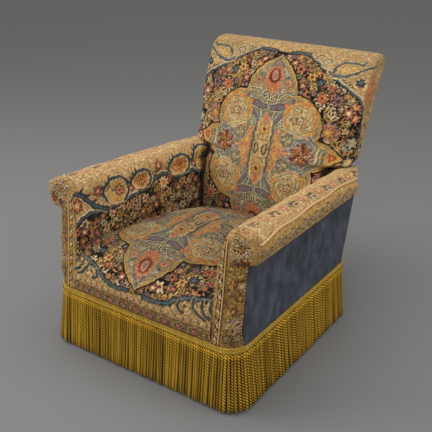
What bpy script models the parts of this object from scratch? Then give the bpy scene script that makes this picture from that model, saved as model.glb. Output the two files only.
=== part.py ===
"""Low easy chair, upholstered all over, with a sprung seat, roll arms, a raked back and a bullion fringe.

The chair faces -Y. Lengths are metres. The pieces are laid out from the middle of the seat frame, and
the empty they hang from brings the middle of the chair's box to the origin.
"""

import math

import bmesh
import bpy
from mathutils import Vector

# Gaps
GAP = 0.0003
CLEAR = 0.001

# Plan of the upholstered body at the top of the fringe
BODY_HALF = 0.3445
BODY_FRONT = -0.333
BODY_REAR = 0.345
FRONT_RADIUS = 0.0615
REAR_RADIUS = 0.040

# Heights
RAIL_LOW = 0.105
RAIL_TOP = 0.200
COVER_LOW = 0.190

# Braid and fringe
BRAID_LOW = 0.1855
BRAID_TOP = 0.2010
BRAID_THICK = 0.0030
BRAID_CORD = 0.0036
FRINGE_CORDS = 320
FRINGE_TOP = 0.1850
FRINGE_HEM = 0.0040
FRINGE_THICK = 0.0050
FRINGE_RIDGE = 0.0016
FRINGE_FLARE = 0.0150

# Arms: the roll's centre line, which runs back, in and down
ROLL_X = 0.330
ROLL_INWARD = 0.035
ROLL_X_FROM = -0.280
ROLL_Z = 0.4985
ROLL_DROP = 0.057
ROLL_Z_FROM = -0.250
ROLL_HALF_WIDTH = 0.057
ROLL_HALF_HEIGHT = 0.050
FACE_LEAN = 0.130
FACE_FROM_Z = 0.200
FACING_INNER_X = 0.2866
FACING_THICK = 0.0050
FACING_EDGE = 0.030
FACING_WRAP = math.radians(70)
PIPING_ANGLE = math.radians(25)
PIPING_RADIUS = 0.0030
FACE_PIPING_X = 0.2835
FACE_PIPING_RADIUS = 0.0027
VELVET_THICK = 0.0040
HOLLOW_INSET = 0.0335

# Frame timbers
POST_HALF_GAP = 0.2625
BAND_REAR_Y = 0.350
POST_OUTER = 0.2925
POST_FRONT = 0.042
POST_REAR = 0.012
BACK_RAIL_TOP = 0.800
BACK_RAIL_LOW = 0.752
BACK_HOLLOW = 0.030
SIDE_RAIL_INNER = 0.2985
SIDE_RAIL_OUTER = 0.3340

# Seat
SEAT_EDGE_Z = 0.348
SEAT_EDGE_FROM = -0.228
SEAT_EDGE_DROP = 0.144
SEAT_DEPTH_UNDER_EDGE = 0.050
SEAT_CROWN_POWER = 2.6
SPRING_XS = (-0.150, 0.0, 0.150)
SPRING_YS = (-0.170, 0.010, 0.190)
SPRING_TURNS = 4
SPRING_END_RADIUS = 0.045
SPRING_WAIST_RADIUS = 0.028
SPRING_WIRE = 0.0022
WEB_LOW = 0.1022
WEB_THICK = 0.0024
CANVAS_THICK = 0.0012
LINING_LOW = 0.0995

# Back pad: half width below and above the arms
BACK_LOW_HALF = 0.2322
BACK_CROWN_POWER = 2.4

# Smooth profiles, each a few (height, distance) pairs read with between()
REAR_LINE = (
    (0.00, 0.328), (0.20, 0.345), (0.25, 0.357), (0.29, 0.370), (0.354, 0.387), (0.42, 0.405),
    (0.45, 0.416), (0.49, 0.440), (0.54, 0.476),
    (0.60, 0.516), (0.718, 0.569), (0.80, 0.604), (0.82, 0.611), (0.838, 0.613), (0.850, 0.605),
    (0.857, 0.587),
)
BACK_CENTRE_LINE = (
    (0.24, 0.2945), (0.33, 0.2925), (0.42, 0.300), (0.50, 0.318), (0.555, 0.340), (0.65, 0.382),
    (0.74, 0.420), (0.80, 0.455), (0.82, 0.473), (0.838, 0.496), (0.850, 0.520), (0.857, 0.544),
)
BACK_EDGE_LINE = (
    (0.24, 0.306), (0.33, 0.308), (0.42, 0.322), (0.50, 0.362), (0.54, 0.410), (0.60, 0.421),
    (0.66, 0.433), (0.73, 0.460), (0.78, 0.483), (0.82, 0.503), (0.838, 0.518), (0.850, 0.532),
    (0.857, 0.550),
)
BACK_HALF_LINE = (
    (0.24, BACK_LOW_HALF), (0.503, BACK_LOW_HALF), (0.514, 0.303), (0.526, 0.316), (0.66, 0.318),
    (0.80, 0.323), (0.82, 0.323), (0.838, 0.321), (0.850, 0.315), (0.857, 0.305),
)
ARM_INNER_LINE = ((0.19, 0.070), (0.28, 0.073), (0.36, 0.075), (0.42, 0.070), (0.456, 0.062))
SEAT_MIDDLE = (
    (-0.3325, 0.190), (-0.3325, 0.2055), (-0.3410, 0.2105), (-0.3475, 0.240), (-0.3495, 0.268),
    (-0.3440, 0.296), (-0.328, 0.323), (-0.300, 0.348), (-0.250, 0.374), (-0.180, 0.392),
    (-0.100, 0.399), (0.000, 0.394), (0.100, 0.375), (0.200, 0.341), (0.260, 0.316), (0.2910, 0.300),
)
SEAT_SIDE = (
    (-0.3325, 0.190), (-0.3325, 0.2055), (-0.3345, 0.2110), (-0.3355, 0.236), (-0.3340, 0.262),
    (-0.328, 0.288), (-0.312, 0.314), (-0.280, 0.335), (-0.240, 0.345), (-0.180, 0.341),
    (-0.100, 0.330), (0.000, 0.316), (0.100, 0.302), (0.200, 0.287), (0.260, 0.279), (0.300, 0.274),
)
SEAT_UNDER_Y = (
    -0.3256, -0.3256, -0.3256, -0.310, -0.297, -0.288, -0.283, -0.281, -0.277, -0.240, -0.160,
    -0.060, 0.050, 0.150, 0.240, 0.285,
)
SEAT_UNDER_Z = (0.190, 0.1965, 0.2010, 0.2012, 0.2014, 0.215, 0.240, 0.268, 0.294)


def between(knots, at):
    """Reads a curve given as (position, value) pairs, straight between them."""
    if at <= knots[0][0]:
        return knots[0][1]
    for (a, first), (b, second) in zip(knots, knots[1:]):
        if at <= b:
            return first + (second - first) * (at - a) / (b - a)
    return knots[-1][1]


def rear_y(z):
    return between(REAR_LINE, z)


def roll_x(y):
    return ROLL_X - ROLL_INWARD * (y - ROLL_X_FROM)


def roll_z(y):
    return ROLL_Z - ROLL_DROP * (y - ROLL_Z_FROM)


def face_y(z):
    """The arm's front leans back as it rises."""
    return BODY_FRONT + FACE_LEAN * max(0.0, z - FACE_FROM_Z)


def arm_inner_x(y, z):
    return roll_x(y) - between(ARM_INNER_LINE, z)


def toward_rear(y, front, rear):
    """A size that changes evenly from the arm's front to its rear."""
    way = min(1.0, max(0.0, (y - ROLL_Z_FROM) / (BAND_REAR_Y - ROLL_Z_FROM)))
    return front + (rear - front) * way


def seat_under_z(y):
    return SEAT_EDGE_Z - SEAT_EDGE_DROP * (y - SEAT_EDGE_FROM) - SEAT_DEPTH_UNDER_EDGE


def finish(name, colour, roughness, metallic=0.0):
    material = bpy.data.materials.get(name)
    if material is None:
        material = bpy.data.materials.new(name)
        material.use_nodes = True
        shader = material.node_tree.nodes["Principled BSDF"]
        shader.inputs["Base Color"].default_value = (*colour, 1.0)
        shader.inputs["Roughness"].default_value = roughness
        shader.inputs["Metallic"].default_value = metallic
    return material


def beech():
    return finish("beech", (0.46, 0.30, 0.17), 0.6)


def carpet_moquette():
    return finish("carpet_moquette", (0.33, 0.21, 0.11), 0.9)


def blue_velvet():
    return finish("blue_velvet", (0.045, 0.055, 0.085), 0.85)


def gold_trimming():
    return finish("gold_trimming", (0.42, 0.26, 0.05), 0.8)


def hessian():
    return finish("hessian", (0.35, 0.25, 0.14), 0.95)


def spring_steel():
    return finish("spring_steel", (0.45, 0.44, 0.42), 0.4, 1.0)


def lining_cloth():
    return finish("lining_cloth", (0.05, 0.045, 0.04), 0.95)


def cord_piping():
    return finish("cord_piping", (0.62, 0.45, 0.24), 0.8)


def guard_cloth():
    return finish("guard_cloth", (0.18, 0.13, 0.08), 0.9)


# The empty that every piece hangs from
def box_middle_y():
    front = BODY_FRONT - FRINGE_FLARE - FRINGE_THICK - FRINGE_RIDGE
    return (front + max(y for z, y in REAR_LINE)) / 2


def clear_scene():
    for thing in list(bpy.data.objects):
        bpy.data.objects.remove(thing, do_unlink=True)


def add(name, shape, material, smooth=True):
    """Puts a bmesh in the scene as one named object under the chair's empty."""
    bmesh.ops.recalc_face_normals(shape, faces=shape.faces)
    mesh = bpy.data.meshes.new(name)
    shape.to_mesh(mesh)
    shape.free()
    if smooth:
        mesh.shade_smooth()
        mesh.set_sharp_from_angle(angle=math.radians(35))
    piece = bpy.data.objects.new(name, mesh)
    piece.data.materials.append(material)
    bpy.context.scene.collection.objects.link(piece)
    piece.parent = bpy.data.objects["armchair"]
    return piece


def mirrored(shape):
    other = shape.copy()
    bmesh.ops.scale(other, vec=(-1.0, 1.0, 1.0), verts=other.verts)
    return other


def add_pair(name, shape, material, smooth=True):
    """The right piece as made, and the left one as its mirror image."""
    other = mirrored(shape)
    right = add(name + "_right", shape, material, smooth)
    left = add(name + "_left", other, material, smooth)
    return left, right


def tube_of(rows, joined=False):
    """A closed body from cross-sections of equal point count. joined makes the last meet the first."""
    shape = bmesh.new()
    rings = [[shape.verts.new(point) for point in row] for row in rows]
    count = len(rings[0])
    pairs = list(zip(rings, rings[1:]))
    if joined:
        pairs.append((rings[-1], rings[0]))
    for first, second in pairs:
        for i in range(count):
            j = (i + 1) % count
            shape.faces.new((first[i], first[j], second[j], second[i]))
    if not joined:
        shape.faces.new(rings[0])
        shape.faces.new(reversed(rings[-1]))
    return shape


def skin_of(outer, inner):
    """A closed body between two sheets of points with the same rows and columns."""
    shape = bmesh.new()
    out_rows = [[shape.verts.new(point) for point in row] for row in outer]
    in_rows = [[shape.verts.new(point) for point in row] for row in inner]
    rows, columns = len(outer), len(outer[0])
    for r in range(rows - 1):
        for c in range(columns - 1):
            near, far = out_rows[r], out_rows[r + 1]
            shape.faces.new((near[c], near[c + 1], far[c + 1], far[c]))
            near, far = in_rows[r], in_rows[r + 1]
            shape.faces.new((near[c], far[c], far[c + 1], near[c + 1]))
    for c in range(columns - 1):
        for r in (0, rows - 1):
            shape.faces.new((out_rows[r][c], in_rows[r][c], in_rows[r][c + 1], out_rows[r][c + 1]))
    for r in range(rows - 1):
        for c in (0, columns - 1):
            shape.faces.new((out_rows[r][c], out_rows[r + 1][c], in_rows[r + 1][c], in_rows[r][c]))
    return shape


def box_of(low, high):
    shape = bmesh.new()
    bmesh.ops.create_cube(shape, size=1.0)
    size = Vector(high) - Vector(low)
    bmesh.ops.scale(shape, vec=size, verts=shape.verts)
    bmesh.ops.translate(shape, vec=(Vector(high) + Vector(low)) / 2, verts=shape.verts)
    return shape


def plate_of_cells(xs, ys, wanted, low, thick):
    """A flat plate over the cells of a plan grid for which wanted(x, y) is true."""
    shape = bmesh.new()
    corner = {}
    for i, x in enumerate(xs):
        for j, y in enumerate(ys):
            corner[i, j] = shape.verts.new((x, y, low))
    for i in range(len(xs) - 1):
        for j in range(len(ys) - 1):
            if wanted((xs[i] + xs[i + 1]) / 2, (ys[j] + ys[j + 1]) / 2):
                shape.faces.new((corner[i, j], corner[i + 1, j], corner[i + 1, j + 1], corner[i, j + 1]))
    bmesh.ops.delete(shape, geom=[v for v in shape.verts if not v.link_faces], context="VERTS")
    grown = bmesh.ops.extrude_face_region(shape, geom=list(shape.faces), use_keep_orig=True)
    raised = [v for v in grown["geom"] if isinstance(v, bmesh.types.BMVert)]
    bmesh.ops.translate(shape, vec=(0.0, 0.0, thick), verts=raised)
    return shape


def cut(piece, cutter):
    """Takes a hidden cutter out of a piece."""
    cutter.hide_render = True
    cutter.display_type = "WIRE"
    step = piece.modifiers.new("cut_" + cutter.name, "BOOLEAN")
    step.operation = "DIFFERENCE"
    step.solver = "EXACT"
    step.object = cutter


# Body plan: a rounded rectangle, as points and outward normals
def body_plan(count, line_steps=0, arc_steps=0):
    """At count even steps all round, or with a set number of steps to each side and each corner."""
    straight_x = 2 * BODY_HALF - 2 * FRONT_RADIUS
    rear_x = 2 * BODY_HALF - 2 * REAR_RADIUS
    straight_y = BODY_REAR - BODY_FRONT - FRONT_RADIUS - REAR_RADIUS
    front_arc = math.pi / 2 * FRONT_RADIUS
    rear_arc = math.pi / 2 * REAR_RADIUS
    x_front = BODY_HALF - FRONT_RADIUS
    x_rear = BODY_HALF - REAR_RADIUS
    y_front = BODY_FRONT + FRONT_RADIUS
    y_rear = BODY_REAR - REAR_RADIUS
    runs = (
        ("line", straight_x, (-x_front, BODY_FRONT), (1, 0), (0, -1)),
        ("arc", front_arc, (x_front, y_front), FRONT_RADIUS, -90),
        ("line", straight_y, (BODY_HALF, y_front), (0, 1), (1, 0)),
        ("arc", rear_arc, (x_rear, y_rear), REAR_RADIUS, 0),
        ("line", rear_x, (x_rear, BODY_REAR), (-1, 0), (0, 1)),
        ("arc", rear_arc, (-x_rear, y_rear), REAR_RADIUS, 90),
        ("line", straight_y, (-BODY_HALF, y_rear), (0, -1), (-1, 0)),
        ("arc", front_arc, (-x_front, y_front), FRONT_RADIUS, 180),
    )
    total = sum(run[1] for run in runs)
    places, passed = [total * k / count for k in range(count)], 0.0
    if line_steps:
        for run in runs:
            steps = line_steps if run[0] == "line" else arc_steps
            places += [passed + run[1] * k / steps for k in range(steps)]
            passed += run[1]
    plan = []
    for left in places:
        for kind, length, start, a, b in runs:
            if left <= length:
                break
            left -= length
        if kind == "line":
            plan.append((Vector((start[0] + a[0] * left, start[1] + a[1] * left)), Vector(b)))
        else:
            turn = math.radians(b) + left / a
            normal = Vector((math.cos(turn), math.sin(turn)))
            plan.append((Vector(start) + normal * a, normal))
    return plan


# Seat frame
def make_seat_frame():
    wood = beech()
    add("front_rail", box_of((-0.298, -0.322, RAIL_LOW), (0.298, -0.290, RAIL_TOP)), wood)
    add("back_rail", box_of((-0.262, 0.300, RAIL_LOW), (0.262, 0.333, RAIL_TOP)), wood)
    side = box_of((SIDE_RAIL_INNER, -0.2885, RAIL_LOW), (SIDE_RAIL_OUTER, 0.310, RAIL_TOP))
    add_pair("side_rail", side, wood)
    leg_rows = []
    for z, inset in ((0.0, 0.006), (RAIL_LOW - GAP, 0.0), (RAIL_TOP, 0.0)):
        low_x, high_x = 0.2582 + inset, 0.2982 - inset
        low_y, high_y = -0.2895 + inset, -0.2495 - inset
        leg_rows.append([(low_x, low_y, z), (high_x, low_y, z), (high_x, high_y, z), (low_x, high_y, z)])
    add_pair("front_leg", tube_of(leg_rows), wood)


def post_rows(grow=0.0, z_top=BACK_RAIL_TOP):
    """Rear leg and back post in one timber, which bends back above the seat."""
    rows = []
    for z in [0.0, 0.10] + [z for z, y in REAR_LINE[1:11]] + [z_top]:
        front, rear = rear_y(z) - POST_FRONT - grow, rear_y(z) - POST_REAR + grow
        inner, outer = POST_HALF_GAP - grow, POST_OUTER + grow
        rows.append([(inner, front, z), (outer, front, z), (outer, rear, z), (inner, rear, z)])
    return rows


def cross_rail(z_low, z_high, front, rear, half):
    """A rail across the back frame, which follows its rake."""
    rows = []
    for x in (-half, half):
        rows.append(
            [
                (x, rear_y(z_low) - front, z_low),
                (x, rear_y(z_low) - rear, z_low),
                (x, rear_y(z_high) - rear, z_high),
                (x, rear_y(z_high) - front, z_high),
            ]
        )
    return tube_of(rows)


def make_back_frame():
    wood = beech()
    add_pair("back_post", tube_of(post_rows()), wood)
    half = POST_HALF_GAP - GAP
    add("top_rail", cross_rail(BACK_RAIL_LOW, BACK_RAIL_TOP, POST_FRONT, POST_REAR, half), wood)
    add("lower_back_rail", cross_rail(0.208, 0.236, POST_FRONT, POST_REAR, half), wood)


def make_arm_frame():
    wood = beech()
    stump = []
    for z in (RAIL_TOP + GAP, 0.33, 0.4535):
        near, far = face_y(z) + 0.024, face_y(z) + 0.056
        stump.append([(0.3000, near, z), (0.3185, near, z), (0.3185, far, z), (0.3000, far, z)])
    add_pair("arm_stump", tube_of(stump), wood)
    for name, offsets, heights, ends in (
        ("arm_rail", (-0.031, 0.005), (-0.043, -0.019), (-0.272, 0.330)),
        ("arm_tack_rail", (-0.031, -0.008), (None, None), (-0.262, 0.300)),
    ):
        rows = []
        for y in ends:
            x, z = roll_x(y), roll_z(y)
            low, high = (z + heights[0], z + heights[1]) if heights[0] else (0.270, 0.296)
            near, far = x + offsets[0], x + offsets[1]
            rows.append([(near, y, low), (far, y, low), (far, y, high), (near, y, high)])
        add_pair(name, tube_of(rows), wood)


# Webbing, springs and canvas
def make_seat_springing():
    strap_x = (-0.20, -0.10, 0.0, 0.10, 0.20)
    strap_y = (-0.205, -0.10, 0.01, 0.115, 0.22)
    half_strap = 0.025
    xs = [-0.330] + [x + side for x in strap_x for side in (-half_strap, half_strap)] + [0.330]
    ys = [-0.320] + [y + side for y in strap_y for side in (-half_strap, half_strap)] + [0.332]

    def on_strap(x, y):
        along_x = any(abs(y - middle) < half_strap for middle in strap_y)
        along_y = any(abs(x - middle) < half_strap for middle in strap_x)
        return along_x or along_y

    add("seat_webbing", plate_of_cells(xs, ys, on_strap, WEB_LOW, WEB_THICK), hessian(), smooth=False)
    steel = spring_steel()
    number = 0
    for x in SPRING_XS:
        for y in SPRING_YS:
            number += 1
            make_spring("seat_spring_%d" % number, x, y, steel)
    outer, inner = [], []
    for x in (-0.222, 0.222):
        row = [(x, y, seat_under_z(y) - 2 * GAP) for y in (-0.238, -0.10, 0.10, 0.27)]
        outer.append(row)
        inner.append([(x, y, z - CANVAS_THICK) for x, y, z in row])
    add("spring_canvas", skin_of(outer, inner), hessian(), smooth=False)


def make_spring(name, x, y, steel):
    """A double-cone coil between the webbing and the canvas."""
    low = WEB_LOW + WEB_THICK + GAP + SPRING_WIRE
    clearance = SPRING_END_RADIUS * SEAT_EDGE_DROP
    high = seat_under_z(y) - 2 * GAP - CANVAS_THICK - GAP - SPRING_WIRE - clearance
    steps = 8 * SPRING_TURNS
    curve = bpy.data.curves.new(name, "CURVE")
    curve.dimensions = "3D"
    curve.bevel_depth = SPRING_WIRE
    curve.bevel_resolution = 0
    curve.use_fill_caps = True
    spline = curve.splines.new("POLY")
    spline.points.add(steps)
    for k in range(steps + 1):
        way = k / steps
        turn = 2 * math.pi * SPRING_TURNS * way
        waist = (2 * way - 1) ** 2
        radius = SPRING_WAIST_RADIUS + (SPRING_END_RADIUS - SPRING_WAIST_RADIUS) * waist
        place = (x + radius * math.cos(turn), y + radius * math.sin(turn), low + (high - low) * way)
        spline.points[k].co = (*place, 1.0)
    spring = bpy.data.objects.new(name, curve)
    curve.materials.append(steel)
    bpy.context.scene.collection.objects.link(spring)
    spring.parent = bpy.data.objects["armchair"]


def make_back_springing():
    """Canvas over webbing, stretched between the back posts."""
    half = POST_HALF_GAP - CLEAR
    heights = (0.262, 0.29, 0.354, 0.42, 0.45, 0.49, 0.54, 0.60, 0.718, 0.748)
    outer = [[(x, rear_y(z) - BACK_HOLLOW + GAP, z) for x in (-half, half)] for z in heights]
    inner = [[(x, rear_y(z) - BACK_HOLLOW + GAP + CANVAS_THICK, z) for x in (-half, half)] for z in heights]
    add("back_canvas", skin_of(outer, inner), hessian(), smooth=False)


def make_arm_canvas():
    outer, inner = [], []
    for y in (-0.240, 0.298):
        x = roll_x(y) - HOLLOW_INSET + GAP
        outer.append([(x, y, z) for z in (0.262, roll_z(y) - 0.021)])
        inner.append([(x + CANVAS_THICK, y, z) for z in (0.262, roll_z(y) - 0.021)])
    add_pair("inside_arm_canvas", skin_of(outer, inner), hessian(), smooth=False)


def make_bottom_lining():
    xs = (-0.330, -0.2995, -0.257, 0.257, 0.2995, 0.330)
    ys = (-0.318, -0.2910, -0.2480, 0.282, 0.300)

    def inside(x, y):
        at_leg = abs(x) > 0.257 and (y < -0.2480 or y > 0.282)
        return not at_leg

    lining = plate_of_cells(xs, ys, inside, LINING_LOW, CANVAS_THICK)
    add("bottom_lining", lining, lining_cloth(), smooth=False)


# Seat
def make_seat_pad():
    across = [math.sin(math.pi / 2 * (k / 8 - 1)) for k in range(17)]
    outer, inner = [], []
    for u in across:
        mix = abs(u) ** SEAT_CROWN_POWER
        top, under = [], []
        for (y0, z0), (y1, z1) in zip(SEAT_MIDDLE, SEAT_SIDE):
            y, z = y0 + (y1 - y0) * mix, z0 + (z1 - z0) * mix
            top.append((u * (arm_inner_x(y, z) - CLEAR), y, z))
        for k, y in enumerate(SEAT_UNDER_Y):
            z = SEAT_UNDER_Z[k] if k < len(SEAT_UNDER_Z) else seat_under_z(y)
            under.append((u * (arm_inner_x(y, z) - CLEAR), y, z))
        outer.append(top)
        inner.append(under)
    add("seat_pad", skin_of(outer, inner), carpet_moquette())


# Back
def back_ring(z):
    """Plan of the stuffed back at one height: crowned front, straight sides, rounded rear corners."""
    half = between(BACK_HALF_LINE, z)
    middle, edge = between(BACK_CENTRE_LINE, z), between(BACK_EDGE_LINE, z)
    rear = rear_y(z)
    corner = 0.022
    ring = []
    for k in range(15):
        u = math.sin(math.pi / 2 * (k / 7 - 1))
        ring.append((u * half, edge - (edge - middle) * (1 - abs(u) ** BACK_CROWN_POWER), z))
    for k in range(4):
        turn = math.pi / 2 * k / 3
        ring.append((half - corner * (1 - math.cos(turn)), rear - corner * (1 - math.sin(turn)), z))
    for k in range(4):
        turn = math.pi / 2 * (1 + k / 3)
        ring.append((-half + corner * (1 + math.cos(turn)), rear - corner * (1 - math.sin(turn)), z))
    return ring


def make_back_pad():
    heights = (
        0.262, 0.30, 0.34, 0.38, 0.42, 0.46, 0.503, 0.514, 0.526, 0.57, 0.61, 0.66, 0.70, 0.74, 0.78,
        0.80, 0.82, 0.838, 0.850, 0.857,
    )
    pad = add("back_pad", tube_of([back_ring(z) for z in heights]), carpet_moquette())
    half = POST_OUTER + 2 * GAP
    hollow = []
    for z in [0.05] + [z for z, y in REAR_LINE[1:11]] + [BACK_RAIL_TOP + GAP]:
        near, far = rear_y(z) - BACK_HOLLOW, rear_y(z) + 0.05
        hollow.append([(-half, near, z), (half, near, z), (half, far, z), (-half, far, z)])
    cut(pad, add("cutter_back_hollow", tube_of(hollow), beech()))
    post = tube_of(post_rows(grow=2 * GAP, z_top=BACK_RAIL_TOP + GAP))
    for cutter in add_pair("cutter_back_post", post, beech()):
        cut(pad, cutter)
    top = cross_rail(BACK_RAIL_LOW - CLEAR, BACK_RAIL_TOP + GAP, POST_FRONT + 2 * GAP, 0.01, POST_HALF_GAP)
    cut(pad, add("cutter_top_rail", top, beech()))


# Arms
FACING_HEIGHTS = (
    0.19, 0.20, 0.24, 0.30, 0.36, 0.41, 0.4535, 0.4560, 0.464, 0.478, 0.492, 0.506, 0.520, 0.532,
    0.541, 0.5475,
)


def roll_point(y, angle, out=0.0):
    return (
        roll_x(y) + (ROLL_HALF_WIDTH + out) * math.cos(angle),
        roll_z(y) + (ROLL_HALF_HEIGHT + out) * math.sin(angle),
    )


def edge_depth(radius, inset):
    """How far a rounded edge of this radius falls back at this distance in from it."""
    short = max(0.0, radius - max(0.0, inset))
    return radius - math.sqrt(max(0.0, radius * radius - short * short))


def facing_out_x(z, y):
    """Outer edge of the arm's front: the body's side, then the roll."""
    if z < roll_z(y) - 0.047:
        return BODY_HALF - FRONT_RADIUS + FRONT_RADIUS * math.sin(FACING_WRAP)
    lift = min(1.0, abs(z - roll_z(y)) / ROLL_HALF_HEIGHT)
    if z > roll_z(y):
        return roll_x(y) + ROLL_HALF_WIDTH * math.sqrt(max(0.0, 1 - lift * lift))
    return roll_x(y) + ROLL_HALF_WIDTH - 0.019 * lift ** 2.5


def facing_y(x, z):
    """Front surface of the arm's facing, rounded back at its outer side and over the roll."""
    y = face_y(z)
    centre_x, centre_z = roll_x(y), roll_z(y)
    if z < centre_z - 0.047:
        return y + edge_depth(FRONT_RADIUS, BODY_HALF - x)
    outer = edge_depth(FACING_EDGE, facing_out_x(z, y) - x)
    if z <= centre_z:
        return y + outer
    reach = math.hypot((x - centre_x) / ROLL_HALF_WIDTH, (z - centre_z) / ROLL_HALF_HEIGHT)
    round_top = edge_depth(FACING_EDGE, (1 - reach) * ROLL_HALF_HEIGHT)
    fade = 1.0 if x > centre_x else min(1.0, (z - centre_z) / 0.020)
    return y + max(outer if x > centre_x else 0.0, round_top * fade)


def facing_sheet(depth):
    """The facing's front surface moved back into the arm by this depth, along its own slope."""
    rows, step = [], 0.001
    for z in FACING_HEIGHTS:
        y = face_y(z)
        lift = max(0.0, (z - roll_z(y)) / ROLL_HALF_HEIGHT)
        inside = roll_x(y) - ROLL_HALF_WIDTH * math.sqrt(max(0.0, 1 - lift * lift))
        low_x, high_x = max(FACING_INNER_X, inside), facing_out_x(z, y)
        row = []
        for k in range(11):
            x = low_x + (high_x - low_x) * math.sin(math.pi / 2 * k / 10)
            here = facing_y(x, z)
            slope_x = (here - facing_y(x - step, z)) / step
            slope_z = (here - facing_y(x, z - step)) / step if z > roll_z(y) else 0.0
            back = Vector((-slope_x, 1.0, -slope_z)).normalized()
            row.append(Vector((x, here, z)) + back * depth)
        rows.append(row)
    return rows


def make_arm_facing():
    shell = skin_of(facing_sheet(0.0), facing_sheet(FACING_THICK))
    add_pair("arm_facing", shell, carpet_moquette())


def arm_pad_paths(y):
    """Outer and hollow sides of the stuffed arm at one station, from the seat over to the outer side."""
    x, z = roll_x(y), roll_z(y)
    outer = [(x - between(ARM_INNER_LINE, h), h) for h in (0.2056, 0.28, 0.36, 0.42)]
    outer.append((x - between(ARM_INNER_LINE, 0.456), z - 0.035))
    outer += [roll_point(y, math.radians(a)) for a in (192, 174, 156, 140, 124, 111, 102)]
    outer += [roll_point(y, math.radians(a)) for a in (98, 83, 69, 55, 41, 28)]
    outer += [(x + 0.0490, z + 0.0185), (x + 0.0500, z)]
    outer.append((x + toward_rear(y, 0.0483, 0.0497), z - toward_rear(y, 0.0142, 0.0055)))
    outer.append((x + toward_rear(y, 0.0440, 0.0490), z - toward_rear(y, 0.0277, 0.0110)))
    outer.append((x + toward_rear(y, 0.0377, 0.0470), z - toward_rear(y, 0.0387, 0.0150)))
    wall, top = x - HOLLOW_INSET, z - 0.0185
    hollow = [(wall, h) for h in (0.2056, 0.28, 0.36, 0.42)] + [(wall, z - 0.035)]
    hollow += [(wall + 0.0002 * k, top - 0.0002 * (4 - k)) for k in range(4)]
    hollow += [(wall + 0.0070 * k, top) for k in range(1, 4)]
    hollow += [(wall + 0.0245 + 0.0021 * k, top) for k in range(9)]
    hollow.append((x + 0.0082, z - toward_rear(y, 0.0300, 0.0187)))
    hollow.append((x + 0.0082, z - toward_rear(y, 0.0387, 0.0189)))
    return outer, hollow


def arm_front_y(x, z):
    y = face_y(z)
    if x < FACE_PIPING_X and z < roll_z(y) + 0.010:
        return y + CLEAR
    return y + FACING_EDGE + FACING_THICK + 2 * GAP


def arm_rear_y(z, beside, x):
    """The stuffing stops at the back post, and beside the post it rounds off behind the arm."""
    if beside:
        return min(rear_y(z) - 0.014, 0.437 - 36.0 * max(0.0, x - 0.310) ** 2)
    return rear_y(z) - POST_FRONT - 6 * CLEAR


def make_arm_pad():
    stations = (0.0, 0.03, 0.08, 0.18, 0.32, 0.46, 0.60, 0.74, 0.86, 0.94, 1.0)
    front_outer, front_hollow = arm_pad_paths(face_y(0.45))
    rear_outer, rear_hollow = arm_pad_paths(0.36)
    count = len(front_outer)
    past_post = 12
    starts = [arm_front_y(x, z) for x, z in front_outer]
    ends = [arm_rear_y(z, k >= past_post, x) for k, (x, z) in enumerate(rear_outer)]
    outer, inner = [], []
    for way in stations:
        out_row, in_row = [], []
        for k in range(count):
            y = starts[k] + (ends[k] - starts[k]) * way
            deep_start, deep_end = starts[k], ends[k]
            if k < past_post:
                deep_start = max(starts[k], face_y(front_hollow[k][1]) + 0.014)
                deep_end = arm_rear_y(rear_hollow[k][1], False, 0.0)
            deep = deep_start + (deep_end - deep_start) * way
            out_x, out_z = arm_pad_paths(y)[0][k]
            in_x, in_z = arm_pad_paths(deep)[1][k]
            out_row.append((out_x, y, out_z))
            in_row.append((in_x, deep, in_z))
        outer.append(out_row)
        inner.append(in_row)
    add_pair("arm_pad", skin_of(outer, inner), carpet_moquette())


def make_arm_band():
    """Flat strip of cover down the outside of the roll, turned in under it."""
    at_front = (
        (0.0550, 0.015), (0.0565, 0.0), (0.0545, -0.015), (0.0490, -0.030), (0.0410, -0.0435),
        (0.0165, -0.0445),
    )
    at_rear = (
        (0.0550, 0.015), (0.0565, 0.0), (0.0560, -0.006), (0.0550, -0.012), (0.0530, -0.0190),
        (0.0390, -0.0200),
    )
    hidden_front = (
        (0.0496, 0.0148), (0.0508, 0.0), (0.0491, -0.0145), (0.0448, -0.0282), (0.0383, -0.0394),
        (0.0165, -0.0399),
    )
    hidden_rear = (
        (0.0496, 0.0148), (0.0508, 0.0), (0.0505, -0.0056), (0.0498, -0.0112), (0.0478, -0.0156),
        (0.0390, -0.0172),
    )
    outer, inner = [], []
    for way in (0.0, 0.05, 0.2, 0.4, 0.6, 0.8, 0.92, 1.0):
        rows = []
        for front, rear in ((at_front, at_rear), (hidden_front, hidden_rear)):
            row = []
            for (dx, dz), (rear_dx, rear_dz) in zip(front, rear):
                start = face_y(ROLL_Z + dz) + FACING_EDGE + FACING_THICK + 4 * GAP
                y = start + (BAND_REAR_Y - start) * way
                x = roll_x(y) + toward_rear(y, dx, rear_dx)
                row.append((x, y, roll_z(y) + toward_rear(y, dz, rear_dz)))
            rows.append(row)
        outer.append(rows[0])
        inner.append(rows[1])
    add_pair("arm_band", skin_of(outer, inner), carpet_moquette())


def piping(name, points, radius):
    """A round cord along the points, on a smooth poly path."""
    rows = []
    sides = 8
    for k, point in enumerate(points):
        before, after = points[max(0, k - 1)], points[min(len(points) - 1, k + 1)]
        along = (after - before).normalized()
        across = along.cross(Vector((0.31, 0.17, 0.93))).normalized()
        other = along.cross(across)
        ring = []
        for s in range(sides):
            turn = 2 * math.pi * s / sides
            ring.append(point + (across * math.cos(turn) + other * math.sin(turn)) * radius)
        rows.append(ring)
    add_pair(name, tube_of(rows), cord_piping())


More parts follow.
